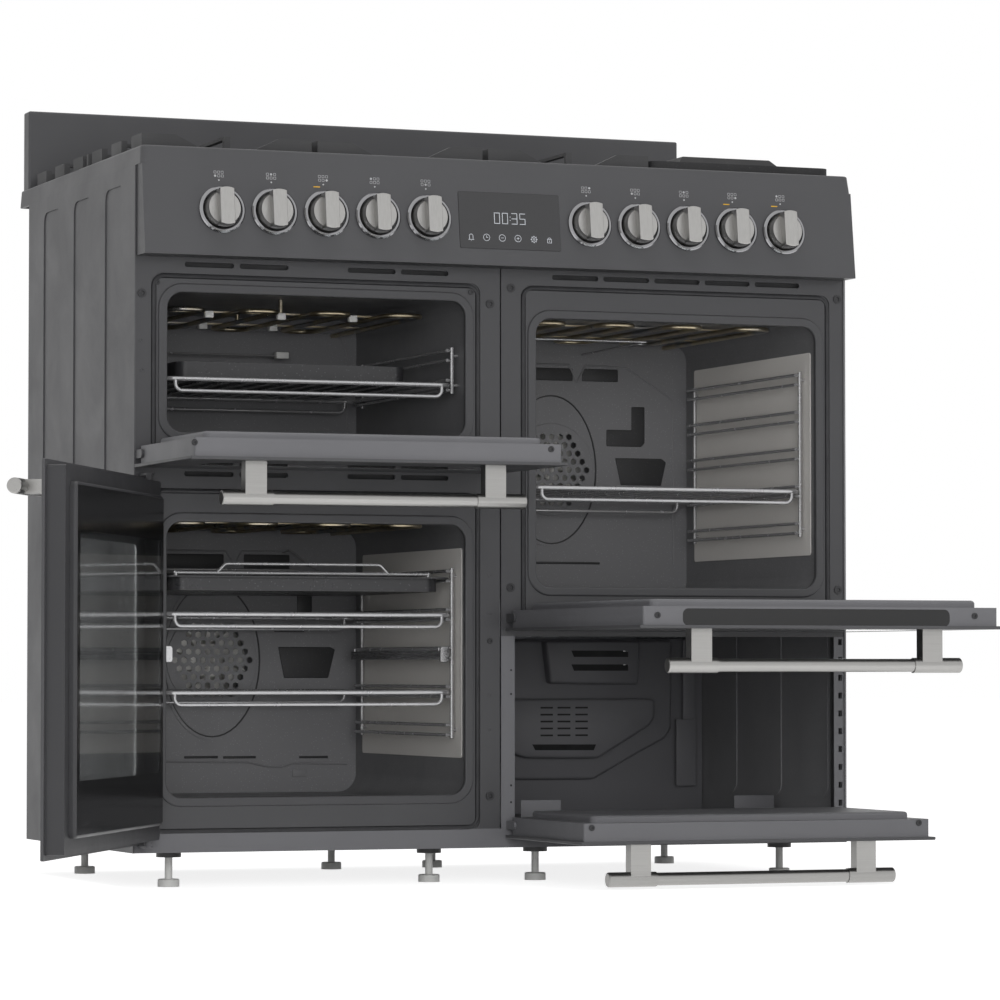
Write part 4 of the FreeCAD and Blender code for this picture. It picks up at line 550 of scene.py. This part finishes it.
def round_frame(bm, x0, x1, z0, z1, y, corner, radius, sides=8):
    """A round cord laid as a frame with round corners in a plane of constant Y."""
    start = Matrix.Translation((x0 + corner, y, z0)) @ Matrix.Rotation(math.pi / 2, 4, "Y")
    ring = bmesh.ops.create_circle(bm, segments=sides, radius=radius, matrix=start)["verts"]
    edges = list({e for v in ring for e in v.link_edges})
    wide, tall = x1 - x0 - 2 * corner, z1 - z0 - 2 * corner
    left, right, low, high = x0 + corner, x1 - corner, z0 + corner, z1 - corner
    for run, pivot in (((wide, 0, 0), (right, y, low)), ((0, 0, tall), (right, y, high)),
                       ((-wide, 0, 0), (left, y, high)), ((0, 0, -tall), (left, y, low))):
        grown = bmesh.ops.extrude_edge_only(bm, edges=edges)["geom"]
        ends = {g for g in grown if isinstance(g, bmesh.types.BMVert)}
        bmesh.ops.translate(bm, verts=list(ends), vec=run)
        edges = [g for g in grown if isinstance(g, bmesh.types.BMEdge) and ends.issuperset(g.verts)]
        bend = bmesh.ops.spin(bm, geom=edges, cent=pivot, axis=(0, -1, 0), angle=math.pi / 2, steps=6)
        edges = [g for g in bend["geom_last"] if isinstance(g, bmesh.types.BMEdge)]
    bmesh.ops.remove_doubles(bm, verts=bm.verts, dist=0.00002)


def fit(name, bm, finish, body="cabinet", smooth=True):
    """The bmesh as a piece of the cooker, riding on a body."""
    bmesh.ops.recalc_face_normals(bm, faces=bm.faces)
    mesh = bpy.data.meshes.new(name)
    bm.to_mesh(mesh)
    bm.free()
    if smooth:
        mesh.shade_smooth()
        mesh.set_sharp_from_angle(angle=math.radians(35))
    mesh.materials.append(finish)
    made = bpy.data.objects.new(name, mesh)
    bpy.context.collection.objects.link(made)
    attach(made, body)
    print(name, len(mesh.polygons), "faces")
    return made


# %% [markdown]
# ## Painted shade behind the vents
#
# The vent slots above the ovens are cut through thin steel. Behind each row stands a near-black sheet of
# painted shade, close behind the steel, so that no light shines through the slots.

# %% Vent backings
# A near-black finish used as painted shade: behind the vents, in the bay's slots and holes, and behind the
# upright.
painted_shade_black = moulded("painted shade sheet", paint(34, 34, 35), paint(28, 28, 29), 0.6, 0.8)
bm = bmesh.new()
for x0, x1, z in ((-0.44, -0.07, 0.794), (-0.44, -0.07, 0.527), (0.065, 0.44, 0.794)):
    block(bm, (x0, -0.2616, z - 0.009), (x1, -0.2606, z + 0.009), 0.0003)
fit("vent_painted_shade", bm, painted_shade_black)

# %% [markdown]
# ## Oven gaskets
#
# A silicone cord lies in the pressed groove round each oven mouth and seals the door. A circle is extruded
# along each straight and spun a quarter turn at each corner; the last ring meets the first and is merged.

# %% Gaskets
for name, x, z0, z1 in (("tl", -0.2525, 0.549, 0.779), ("bl", -0.2525, 0.073, 0.505),
                        ("tr", 0.2525, 0.3437, 0.779)):
    bm = bmesh.new()
    round_frame(bm, x - 0.2205, x + 0.2205, z0, z1, -0.2652, 0.014, 0.0030)
    fit(name + "_gasket", bm, gasket_rubber)

# %% [markdown]
# ## Screws and pressed marks
#
# The front plates are held by countersunk screws near their corners, and smaller ones sit beside the
# hinges. The maker's press also leaves small round dimples on the plates. Door screws ride on their doors.

# %% Screws
FRONT = -0.266
bm = bmesh.new()
LARGE_HEAD, SMALL_HEAD = 0.0058, 0.0040
for x, z, r in ((-0.4885, 0.7556, LARGE_HEAD), (-0.4688, 0.7702, SMALL_HEAD), (-0.0414, 0.7710, SMALL_HEAD),
                (-0.0147, 0.7561, LARGE_HEAD), (0.0148, 0.7780, LARGE_HEAD), (0.0144, 0.3852, LARGE_HEAD),
                (-0.0147, 0.1134, LARGE_HEAD), (-0.0147, 0.3152, SMALL_HEAD), (0.4882, 0.7776, LARGE_HEAD),
                (0.4884, 0.3851, LARGE_HEAD)):
    screw(bm, (x, FRONT, z), (0, -1, 0), r)
fit("front_screws", bm, screw_black)
bm = bmesh.new()
for x, z in ((-0.4897, 0.6958), (-0.4882, 0.6577), (-0.0147, 0.4001), (-0.0147, 0.3505), (-0.0147, 0.2448),
             (-0.0147, 0.1992)):
    screw(bm, (x, FRONT, z), (0, -1, 0), 0.0030, 0.0006)
fit("pressed_marks", bm, shaded_frame_grey)

DOOR_ENDS = {"tl": ((-0.4937, 0.5541), (-0.0261, 0.5542)),
             "tr": ((0.0300, 0.3441), (0.4615, 0.3448)),
             "br": ((0.0220, 0.0800), (0.4783, 0.0806))}
for name, spots in DOOR_ENDS.items():
    end_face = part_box(name + "_door_core")[0].y
    bm = bmesh.new()
    for x, z in spots:
        screw(bm, (x, end_face, z), (0, -1, 0), SMALL_HEAD)
    fit(name + "_door_screws", bm, screw_black, name + "_door")

# %% [markdown]
# ## Signs on the control panel
#
# Above each knob a small printed sign shows which burner or oven it serves: a grid of outlined squares with
# one filled, and a dot beneath. They are drawn flat in the panel's own plane and then carried onto the
# sloping panel by one matrix, whose columns are the directions across, up the slope and outwards.

# %% Panel signs
SLOPE = Matrix(((1.0, 0.0, 0.0, 0.0), (0.0, 0.1271, -0.99189, -0.298638), (0.0, 0.99189, 0.1271, 0.862017),
                (0.0, 0.0, 0.0, 1.0)))
FIRST_KNOB, KNOB_PITCH = 0.1125, 0.0702
KNOBS = sorted(side * (FIRST_KNOB + n * KNOB_PITCH) for side in (-1, 1) for n in range(5))
print_white = moulded("pale print", paint(176, 176, 178), paint(168, 168, 170), 0.5, 0.6)
lamp_amber = moulded("amber lamp", paint(212, 168, 42), paint(200, 152, 34), 0.2, 0.3)


def flat_frame(bm, x, y, side, line, height):
    """The outline of a square, as four thin strips."""
    half = side / 2
    for dx, dy, w, h in ((0, half, half, line), (0, -half, half, line), (half, 0, line, half),
                         (-half, 0, line, half)):
        block(bm, (x + dx - w, y + dy - h, 0), (x + dx + w, y + dy + h, height))


bm = bmesh.new()
for n, x in enumerate(KNOBS):
    at_x = x - 0.0023
    bar(bm, (at_x, 0.0386, 0), (at_x, 0.0386, 0.00012), 0.0011, 12)
    for column in range(3):
        for row in range(2):
            px, py = at_x + (column - 1) * 0.0048, 0.0442 + row * 0.0048
            if (column, row) == (n % 3, n % 2):
                bar(bm, (px, py, 0), (px, py, 0.00012), 0.0015, 12)
            else:
                flat_frame(bm, px, py, 0.0030, 0.00022, 0.0001)
bmesh.ops.transform(bm, matrix=SLOPE, verts=bm.verts)
fit("panel_signs", bm, print_white, smooth=False)
bm = bmesh.new()
for n in (2, 8, 9):
    block(bm, (KNOBS[n] - 0.0158, 0.0344, -0.0002), (KNOBS[n] - 0.0068, 0.0358, 0.0003), 0.0001)
bmesh.ops.transform(bm, matrix=SLOPE, verts=bm.verts)
fit("panel_lamps", bm, lamp_amber)

# %% [markdown]
# ## The clock
#
# The display shows a time in seven-segment digits, and a row of touch symbols below it. A digit is a list of
# which of its seven bars are lit; each bar is a thin lit block. The symbols are rings, arcs and strips.

# %% Clock digits
lit, tree, shader, at = new_finish("lit segments")
shader.inputs["Base Color"].default_value = paint(150, 152, 156)
shader.inputs["Emission Strength"].default_value = 0.55
shimmer = put(tree, "ShaderNodeTexNoise", {"Vector": at, "Scale": 900.0})
tone = put(tree, "ShaderNodeMix", {"Factor": shimmer.outputs["Fac"], 6: paint(196, 200, 206),
                                   7: paint(170, 174, 182)}, data_type="RGBA")
feed(tree, tone.outputs[2], shader.inputs["Emission Color"])

SEGMENTS = {"0": "abcdef", "3": "abgcd", "5": "afgcd"}
GLASS_TOP = 0.0006          # the display glass stands half a millimetre proud of the panel
DIGIT_W, DIGIT_H, BAR = 0.0072, 0.0140, 0.0004
ENDS = {"a": ((0, 1), (1, 1)), "b": ((1, 1), (1, .5)), "c": ((1, .5), (1, 0)), "d": ((0, 0), (1, 0)),
        "e": ((0, .5), (0, 0)), "f": ((0, 1), (0, .5)), "g": ((0, .5), (1, .5))}


def ring(bm, x, y, radius, line, sweep=2 * math.pi, start=0.0):
    """A flat ring or arc made by spinning one short edge."""
    a = bm.verts.new((x + (radius - line) * math.cos(start), y + (radius - line) * math.sin(start), GLASS_TOP))
    b = bm.verts.new((x + (radius + line) * math.cos(start), y + (radius + line) * math.sin(start), GLASS_TOP))
    bmesh.ops.spin(bm, geom=[bm.edges.new((a, b)), a, b], cent=(x, y, GLASS_TOP), axis=(0, 0, 1), angle=sweep,
                   steps=max(6, int(24 * sweep / 6.3)), use_merge=sweep > 6.2)


def strip(bm, a, b, half=0.0003):
    """A thin flat strip between two points of the display."""
    low = (min(a[0], b[0]) - half, min(a[1], b[1]) - half)
    high = (max(a[0], b[0]) + half, max(a[1], b[1]) + half)
    block(bm, (*low, GLASS_TOP - 0.0001), (*high, GLASS_TOP + 0.0001))


bm = bmesh.new()
for n, digit in enumerate("0035"):
    x0, y0 = -0.0213 + n * 0.0112 + (0.0020 if n > 1 else 0.0), -0.0036
    for name in SEGMENTS[digit]:
        (ax, ay), (bx, by) = ENDS[name]
        strip(bm, (x0 + ax * DIGIT_W, y0 + ay * DIGIT_H), (x0 + bx * DIGIT_W, y0 + by * DIGIT_H), BAR)
for y in (0.0012, 0.0056):
    strip(bm, (0.0007, y), (0.0007, y), 0.0005)
for x in (-0.0334, -0.0115, 0.0105):
    ring(bm, x, -0.0227, 0.0044, 0.0003)
strip(bm, (-0.0334, -0.0227), (-0.0334, -0.0202))
strip(bm, (-0.0334, -0.0227), (-0.0316, -0.0227))
strip(bm, (-0.0132, -0.0227), (-0.0098, -0.0227))
strip(bm, (0.0088, -0.0227), (0.0122, -0.0227))
strip(bm, (0.0105, -0.0244), (0.0105, -0.0210))
ring(bm, 0.0330, -0.0231, 0.0034, 0.0003)
ring(bm, 0.0330, -0.0231, 0.0012, 0.0003)
for n in range(8):
    x, y = math.cos(n * math.pi / 4), math.sin(n * math.pi / 4)
    strip(bm, (0.0330 + 0.0042 * x, -0.0231 + 0.0042 * y), (0.0330 + 0.0042 * x, -0.0231 + 0.0042 * y), 0.0005)
for a, b in (((0.0519, -0.0270), (0.0575, -0.0270)), ((0.0519, -0.0222), (0.0575, -0.0222)),
             ((0.0519, -0.0270), (0.0519, -0.0222)), ((0.0575, -0.0270), (0.0575, -0.0222)),
             ((0.0547, -0.0252), (0.0547, -0.0240))):
    strip(bm, a, b)
ring(bm, 0.0547, -0.0222, 0.0020, 0.0003, math.pi)
for a, b in (((-0.0585, -0.0262), (-0.0513, -0.0262)), ((-0.0574, -0.0262), (-0.0574, -0.0214)),
             ((-0.0524, -0.0262), (-0.0524, -0.0214)), ((-0.0549, -0.0276), (-0.0549, -0.0276))):
    strip(bm, a, b)
ring(bm, -0.0549, -0.0214, 0.0025, 0.0003, math.pi)
bmesh.ops.transform(bm, matrix=SLOPE, verts=bm.verts)
fit("clock_face", bm, lit, smooth=False)

# %% [markdown]
# ## Pressings in the oven backs
#
# An enamelled oven back is one deep-drawn sheet. Hooks, vents and the steam channel are pressed into it as
# shallow shapes with soft edges. Each is drawn as an outline in the plane of the wall, extruded a little
# towards the door and bevelled; the ones that go inwards get a darker enamel, painted shade for the light
# that does not get in.

# %% Wall pressings
def slab(bm, outline, y_wall, proud, edge=0.0):
    """A flat shape on a wall of constant Y: its outline in X and Z, pulled out towards the door."""
    corners = [bm.verts.new((x, y_wall, z)) for x, z in outline]
    face = bm.faces.new(corners)
    pulled = bmesh.ops.extrude_face_region(bm, geom=[face])["geom"]
    ends = [g for g in pulled if isinstance(g, bmesh.types.BMVert)]
    bmesh.ops.translate(bm, verts=ends, vec=(0, -proud, 0))
    if edge:
        rim = {e for v in ends for e in v.link_edges}
        bmesh.ops.bevel(bm, geom=list(rim), offset=edge, segments=3, profile=0.5, affect="EDGES", material=-1)


# A darker copy of the oven enamel: painted shade for the recesses and grooves.
shade_painted_enamel = enamelled("oven enamel with painted shade", paint(50, 50, 51), paint(70, 70, 72), 0.4, 0.55, 330.0,
                          0.00010)
WALL = 0.1815
SMALL = 0.0014
bm = bmesh.new()
for x0, x1, z0, z1 in ((-0.345, -0.236, 0.4165, 0.4375), (-0.207, -0.140, 0.4165, 0.4375),
                       (-0.2925, -0.2435, 0.1555, 0.1590), (-0.2363, -0.1884, 0.1550, 0.1585),
                       (-0.1256, -0.0830, 0.1545, 0.1580), (-0.1290, -0.1069, 0.3500, 0.3817),
                       (-0.1626, -0.1180, 0.3300, 0.3412)):
    slab(bm, ((x0, z0), (x1, z0), (x1, z1), (x0, z1)), WALL, 0.0006, min(SMALL, (z1 - z0) / 3))
slab(bm, ((-0.1480, 0.2662), (-0.0830, 0.2662), (-0.0729, 0.3060), (-0.0800, 0.3093), (-0.1567, 0.3093)), WALL,
     0.0008, SMALL)
fit("bl_back_recesses", bm, shade_painted_enamel)
bm = bmesh.new()
route(bm, ((-0.3700, WALL, 0.1520), (-0.2000, WALL, 0.1500), (-0.1700, WALL, 0.1430), (-0.1500, WALL, 0.1430),
           (-0.1350, WALL, 0.1480), (-0.0550, WALL, 0.1465)), 0.0016)
route(bm, ((-0.3700, WALL, 0.4420), (-0.2330, WALL, 0.4420), (-0.2200, WALL, 0.4230), (-0.2100, WALL, 0.4420),
           (-0.1400, WALL, 0.4420)), 0.0013)
slab(bm, ((-0.1360, 0.1290), (-0.1150, 0.1290), (-0.1150, 0.1395), (-0.1360, 0.1395)), WALL, 0.0020, 0.0006)
fit("bl_back_beads", bm, oven_enamel)

bm = bmesh.new()
for x, z in ((-0.2525, 0.2910), (0.2525, 0.56275)):
    turns = [2 * math.pi * n / 48 for n in range(49)]
    route(bm, [(x + 0.0690 * math.cos(a), WALL - 0.0004, z + 0.1060 * math.sin(a)) for a in turns], 0.0013, 6)
# The oval grooves round the fans take the darker enamel too: painted shade.
fit("fan_ovals", bm, shade_painted_enamel)

bm = bmesh.new()
for x0, x1, z0, z1 in ((0.1200, 0.2860, 0.6900, 0.7080), (0.3000, 0.3560, 0.6900, 0.7080),
                       (0.2278, 0.3279, 0.4280, 0.4315)):
    slab(bm, ((x0, z0), (x1, z0), (x1, z1), (x0, z1)), WALL, 0.0006, min(SMALL, (z1 - z0) / 3))
slab(bm, ((0.3380, 0.5975), (0.3920, 0.5975), (0.3975, 0.6030), (0.3975, 0.6550), (0.3768, 0.6550),
          (0.3768, 0.6215), (0.3380, 0.6215)), WALL, 0.0006, SMALL)
slab(bm, ((0.3600, 0.5421), (0.4230, 0.5421), (0.4310, 0.5760), (0.4240, 0.5810), (0.3514, 0.5810)), WALL,
     0.0008, SMALL)
fit("tr_back_recesses", bm, shade_painted_enamel)
bm = bmesh.new()
route(bm, ((0.1200, WALL, 0.7130), (0.2800, WALL, 0.7130), (0.2925, WALL, 0.6880), (0.3050, WALL, 0.7130),
           (0.3702, WALL, 0.7108), (0.4420, WALL, 0.6664), (0.4420, WALL, 0.4300)), 0.0015)
fit("tr_back_beads", bm, oven_enamel)
bm = bmesh.new()
route(bm, ((-0.4000, WALL, 0.7500), (-0.0800, WALL, 0.7480), (-0.0640, WALL, 0.7400), (-0.0560, WALL, 0.7200),
           (-0.0560, WALL, 0.6100), (-0.0700, WALL, 0.5960), (-0.4200, WALL, 0.5960)), 0.0015)
fit("tl_back_border", bm, oven_enamel)

# %% [markdown]
# ## Sensors and element clips
#
# A thin steel probe reaches into each oven near its roof and measures the heat; its lead leaves through the
# back. White ceramic clips hold the grill element's bars apart. They are small, but they catch the light.

# %% Probes and clips
bm = bmesh.new()
route(bm, ((-0.380, 0.150, 0.7120), (-0.180, 0.150, 0.7120), (-0.160, 0.158, 0.7120), (-0.150, 0.1812, 0.7120)),
      0.0013)
route(bm, ((-0.150, 0.1812, 0.4400), (-0.146, 0.165, 0.4440), (-0.136, 0.165, 0.4380), (-0.118, 0.172, 0.4240),
           (-0.098, 0.1812, 0.4160)), 0.0012)
route(bm, ((0.085, 0.1812, 0.7280), (0.085, -0.050, 0.7300), (0.300, -0.050, 0.7300), (0.300, 0.1812, 0.7280)),
      0.0013)
fit("oven_probes", bm, wire_chrome)
bm = bmesh.new()
block(bm, (-0.1720, 0.1440, 0.7080), (-0.1540, 0.1560, 0.7170), 0.0010)
for x, y in ((-0.352, -0.114), (-0.252, -0.114), (-0.152, -0.114), (-0.302, 0.072), (-0.202, 0.072)):
    block(bm, (x - 0.006, y - 0.0045, 0.7395), (x + 0.006, y + 0.0045, 0.7485), 0.0015)
fit("ceramic_clips", bm, cap_plastic)

# %% [markdown]
# ## The tray rack's wires
#
# Over the deep tray lies a rack whose cross wires are only six millimetres apart, so from below it looks
# like a comb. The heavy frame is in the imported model; the fine wires are added here, each an eight-sided bar.

# %% Rack wires
low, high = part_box("bl_rack")
print("rack box:", [round(v, 4) for v in (*low, *high)])
bm = bmesh.new()
count = int((high.x - low.x - 0.02) / 0.006)
first = (low.x + high.x - (count - 1) * 0.006) / 2
for n in range(count):
    bar(bm, (first + n * 0.006, low.y + 0.003, 0.4038), (first + n * 0.006, high.y - 0.003, 0.4038), 0.0009, 6)
fit("rack_wires", bm, wire_chrome, "bl_rack_body")

# %% [markdown]
# ## Printed borders on the panes
#
# The inner pane of each glazed door is printed black round its window, which hides the glue and the frame.
# The print is a very thin plate with a window: four faces join the outer outline to the window's outline,
# and they get their thickness by extruding.

# %% Printed borders
HINGE_Y, CORE_EDGE = -0.289, 0.0285
PANES = {"tl": (-0.2525, 0.5325, 0.775, 0.5505), "tr": (0.2525, 0.3272, 0.775, 0.3452)}


def border(bm, outer, window, lift):
    """A flat border in the plane Z = 0 between two rectangles (x0, x1, y0, y1), with thickness."""
    rings = []
    for x0, x1, y0, y1 in (outer, window):
        rings.append([bm.verts.new(p) for p in ((x0, y0, 0), (x1, y0, 0), (x1, y1, 0), (x0, y1, 0))])
    sides = [bm.faces.new((rings[0][n], rings[0][(n + 1) % 4], rings[1][(n + 1) % 4], rings[1][n]))
             for n in range(4)]
    grown = bmesh.ops.extrude_face_region(bm, geom=sides)["geom"]
    bmesh.ops.translate(bm, verts=[g for g in grown if isinstance(g, bmesh.types.BMVert)], vec=(0, 0, lift))


for name, (x, z0, z1, pivot) in PANES.items():
    far, near = HINGE_Y - (z1 - CORE_EDGE - pivot), HINGE_Y - (z0 + CORE_EDGE - pivot)
    low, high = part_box(name + "_door_glass")
    bm = bmesh.new()
    border(bm, (low.x + 0.0005, high.x - 0.0005, far + 0.0005, near - 0.0005),
           (x - 0.2075, x + 0.2075, far + 0.050, near - 0.060), 0.0002)
    bmesh.ops.translate(bm, verts=bm.verts, vec=(0, 0, high.z + 0.00005))
    fit(name + "_pane_print", bm, frit_black, name + "_door", smooth=False)

bm = bmesh.new()
border(bm, (-0.2185, 0.2185, 0.0865, 0.4925), (-0.2075, 0.2075, 0.1490, 0.4400), 0.0002)
half_open = math.radians(-120)
across = Vector((math.cos(half_open), math.sin(half_open), 0))
inwards = Vector((-math.sin(half_open), math.cos(half_open), 0))
pin = Vector((-0.486, -0.292, 0))
middle = pin + across * (0.2475 - 0.014) + inwards * (0.0360 - 0.014)
stand = Matrix(((across.x, 0, inwards.x, middle.x), (across.y, 0, inwards.y, middle.y), (0, 1, 0, 0),
                (0, 0, 0, 1)))
bmesh.ops.transform(bm, matrix=stand, verts=bm.verts)
fit("bl_pane_print", bm, frit_black, "bl_door", smooth=False)

# %% [markdown]
# ## The storage bay's walls
#
# The bay under the right oven is lined with thin sheet. Its back wall is pressed out in steps round the
# fan motor behind it: a broad low step with a sloping lower edge, and two higher fields on it, one with
# louvres and a long slot, the other with two slots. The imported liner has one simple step, so this piece
# replaces it and is drawn from the same walls.

# %% Storage walls
low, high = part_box("storage_liner")
print("storage liner box:", [round(v, 4) for v in (*low, *high)])
BACK_WALL = 0.200
bm = bmesh.new()
block(bm, (low.x, low.y, low.z), (low.x + 0.002, BACK_WALL, high.z), 0.0003)
block(bm, (low.x, low.y + 0.026, low.z), (high.x, BACK_WALL, low.z + 0.002), 0.0003)
block(bm, (low.x, BACK_WALL, low.z), (high.x, BACK_WALL + 0.002, high.z), 0.0003)
slab(bm, ((low.x + 0.003, 0.1223), (0.3212, 0.1213), (0.3980, 0.1623), (0.4321, 0.1786), (0.4422, 0.1934),
          (0.4439, high.z - 0.002), (low.x + 0.003, high.z - 0.002)), BACK_WALL, 0.0120, 0.0050)
slab(bm, ((low.x + 0.170, 0.2365), (0.3993, 0.2365), (0.4093, 0.2342), (0.4086, 0.2085), (0.4010, 0.1981),
          (0.3209, 0.1517), (0.2117, 0.1525), (low.x + 0.170, 0.1600)), BACK_WALL - 0.0115, 0.0180, 0.0045)
slab(bm, ((0.2398, high.z - 0.003), (0.2475, 0.2580), (0.3832, 0.2562), (0.3858, high.z - 0.003)),
     BACK_WALL - 0.0115, 0.0180, 0.0045)
bay_walls = fit("storage_walls", bm, bay_grey)
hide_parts("storage_liner")

# The louvres and slots in the back field, and four small holes on the front at the bay's left edge, are black
# plates: painted shade.
bm = bmesh.new()
Y_FIELD = BACK_WALL - 0.0295
for x0, x1 in ((0.2317, 0.2506), (0.2577, 0.2774), (0.2851, 0.3042)):
    for row in range(5):
        z = 0.2238 - row * 0.0098
        slab(bm, ((x0, z - 0.0012), (x1, z - 0.0012), (x1, z + 0.0012), (x0, z + 0.0012)), Y_FIELD, 0.0003)
slab(bm, ((0.2236, 0.1638), (0.3134, 0.1632), (0.3169, 0.1714), (0.2190, 0.1720)), Y_FIELD, 0.0003)
for z in (0.3005, 0.2808):
    slab(bm, ((0.2830, z - 0.0045), (0.3668, z - 0.0045), (0.3668, z + 0.0045), (0.2790, z + 0.0045)), Y_FIELD,
         0.0003)
for z in (0.2773, 0.2461, 0.1269, 0.1050):
    bar(bm, (0.0149, -0.2662, z), (0.0149, -0.2655, z), 0.0015, 12)
fit("storage_slots_painted_shade", bm, painted_shade_black, smooth=False)

# Small bright metal strips on the back field and on the bay's floor: painted highlights.
bm = bmesh.new()
for z in (0.3050, 0.2855):
    block(bm, (0.3590, Y_FIELD - 0.0008, z - 0.0012), (0.3668, Y_FIELD - 0.0002, z), 0.0002)
for x0, x1, y in ((0.180, 0.245, 0.050), (0.280, 0.305, 0.050), (0.190, 0.240, -0.040)):
    block(bm, (x0, y, low.z + 0.0021), (x1, y + 0.0020, low.z + 0.0030), 0.0003)
fit("storage_painted_highlights", bm, runner_metal)

bm = bmesh.new()
for x0, x1, y in ((0.0550, 0.1120, -0.200), (0.4100, 0.4700, -0.100)):
    block(bm, (x0, y, low.z + 0.002), (x1, y + 0.0012, low.z + 0.034), 0.0004)
block(bm, (0.4590, 0.1850, 0.2065), (0.4780, 0.1880, high.z - 0.002), 0.0006)
block(bm, (0.4470, 0.1820, low.z + 0.040), (0.4780, 0.1860, 0.2065), 0.0010)
fit("storage_brackets", bm, bay_grey)
# A near-black plate behind the upright at the bay's right edge: painted shade.
bm = bmesh.new()
block(bm, (0.4812, -0.2572, 0.0700), (0.4965, -0.2564, 0.3250), 0.0002)
fit("upright_painted_shade", bm, painted_shade_black)

# %% [markdown]
# ## The slot in the right oven's door
#
# The frame of the tall door has a long slot in its end, through which cooling air leaves from between the
# panes. Inside it is in shade, so it is drawn as a thin dark plate with round corners, painted shade a hair
# proud of the frame's end face.

# %% Door slot
SLOT_CORNER = 0.0075
end_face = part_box("tr_door_core")[0].y
slot_x, slot_z = (0.0636, 0.4267), (0.3315, 0.3525)
outline = []
for n, (x, z) in enumerate(((slot_x[1] - SLOT_CORNER, slot_z[1] - SLOT_CORNER),
                            (slot_x[0] + SLOT_CORNER, slot_z[1] - SLOT_CORNER),
                            (slot_x[0] + SLOT_CORNER, slot_z[0] + SLOT_CORNER),
                            (slot_x[1] - SLOT_CORNER, slot_z[0] + SLOT_CORNER))):
    outline += [(x + SLOT_CORNER * math.cos(math.radians(90 * n + 15 * k)),
                 z + SLOT_CORNER * math.sin(math.radians(90 * n + 15 * k))) for k in range(7)]
bm = bmesh.new()
slab(bm, outline, end_face, 0.0003)
# The slot's plate takes the black print finish, used here as painted shade.
fit("tr_door_slot", bm, frit_black, "tr_door", smooth=False)

# %% [markdown]
# ## Floor and light
#
# The studio is white and shadowless except where the cooker stands. The floor is pale and takes the
# shadow; for the camera, mirrors and glass it also glows a little, so that it runs into the white world
# without a line. Three large soft lamps keep the front, side and hob evenly lit, at a level where a colour
# renders about as it is written. They are hidden from mirrors, so that closed panes show no bright disc.

# %% Studio
AMBIENT = 0.26


def seen_directly(tree):
    """1 for rays that should see the white studio: from the camera, in gloss and through glass."""
    path = put(tree, "ShaderNodeLightPath")
    first = put(tree, "ShaderNodeMath", {0: path.outputs["Is Camera Ray"], 1: path.outputs["Is Glossy Ray"]},
                operation="MAXIMUM")
    return put(tree, "ShaderNodeMath", {0: first.outputs[0], 1: path.outputs["Is Transmission Ray"]},
               operation="MAXIMUM").outputs[0]


studio = bpy.data.worlds.new("white studio")
bpy.context.scene.world = studio
studio.use_nodes = True
tree = studio.node_tree
ambient = put(tree, "ShaderNodeBackground", {"Color": (1.0, 1.0, 1.0, 1.0), "Strength": AMBIENT})
backdrop = put(tree, "ShaderNodeBackground", {"Color": (1.0, 1.0, 1.0, 1.0), "Strength": 1.0})
blend = put(tree, "ShaderNodeMixShader", {0: seen_directly(tree), 1: ambient.outputs[0],
                                          2: backdrop.outputs[0]})
feed(tree, blend.outputs[0], tree.nodes["World Output"].inputs["Surface"])

floor_mesh = bpy.data.meshes.new("studio_floor")
bm = bmesh.new()
bmesh.ops.create_grid(bm, x_segments=1, y_segments=1, size=30.0)
bm.to_mesh(floor_mesh)
bm.free()
floor = bpy.data.objects.new("studio_floor", floor_mesh)
bpy.context.collection.objects.link(floor)
floor_white = bpy.data.materials.new("studio floor")
floor_white.use_nodes = True
tree = floor_white.node_tree
tree.nodes.remove(tree.nodes["Principled BSDF"])
matt = put(tree, "ShaderNodeBsdfDiffuse", {"Color": (0.8, 0.8, 0.8, 1.0)})
glow_amount = put(tree, "ShaderNodeMath", {0: seen_directly(tree), 1: 0.82}, operation="MULTIPLY")
glow = put(tree, "ShaderNodeEmission", {"Color": (1.0, 1.0, 1.0, 1.0), "Strength": glow_amount.outputs[0]})
both = put(tree, "ShaderNodeAddShader", {0: matt.outputs[0], 1: glow.outputs[0]})
feed(tree, both.outputs[0], tree.nodes["Material Output"].inputs["Surface"])
floor_mesh.materials.append(floor_white)


def soft_lamp(name, place, aim, width, power):
    lamp = bpy.data.lights.new(name, "AREA")
    lamp.shape, lamp.size, lamp.energy = "DISK", width, power
    holder = bpy.data.objects.new(name, lamp)
    holder.location = place
    holder.rotation_mode = "QUATERNION"
    holder.rotation_quaternion = (Vector(aim) - Vector(place)).to_track_quat("-Z", "Y")
    bpy.context.collection.objects.link(holder)
    holder.visible_glossy = False
    holder.visible_transmission = False


soft_lamp("front_lamp", (-1.3, -4.4, 0.75), (0.0, -0.2, 0.45), 2.4, 118.0)
soft_lamp("right_lamp", (2.4, -3.6, 1.2), (0.2, -0.2, 0.5), 2.4, 20.0)
soft_lamp("top_lamp", (-0.4, -0.4, 3.6), (0.0, 0.0, 0.9), 2.6, 42.0)
scene = bpy.context.scene
scene.view_settings.view_transform = "Standard"
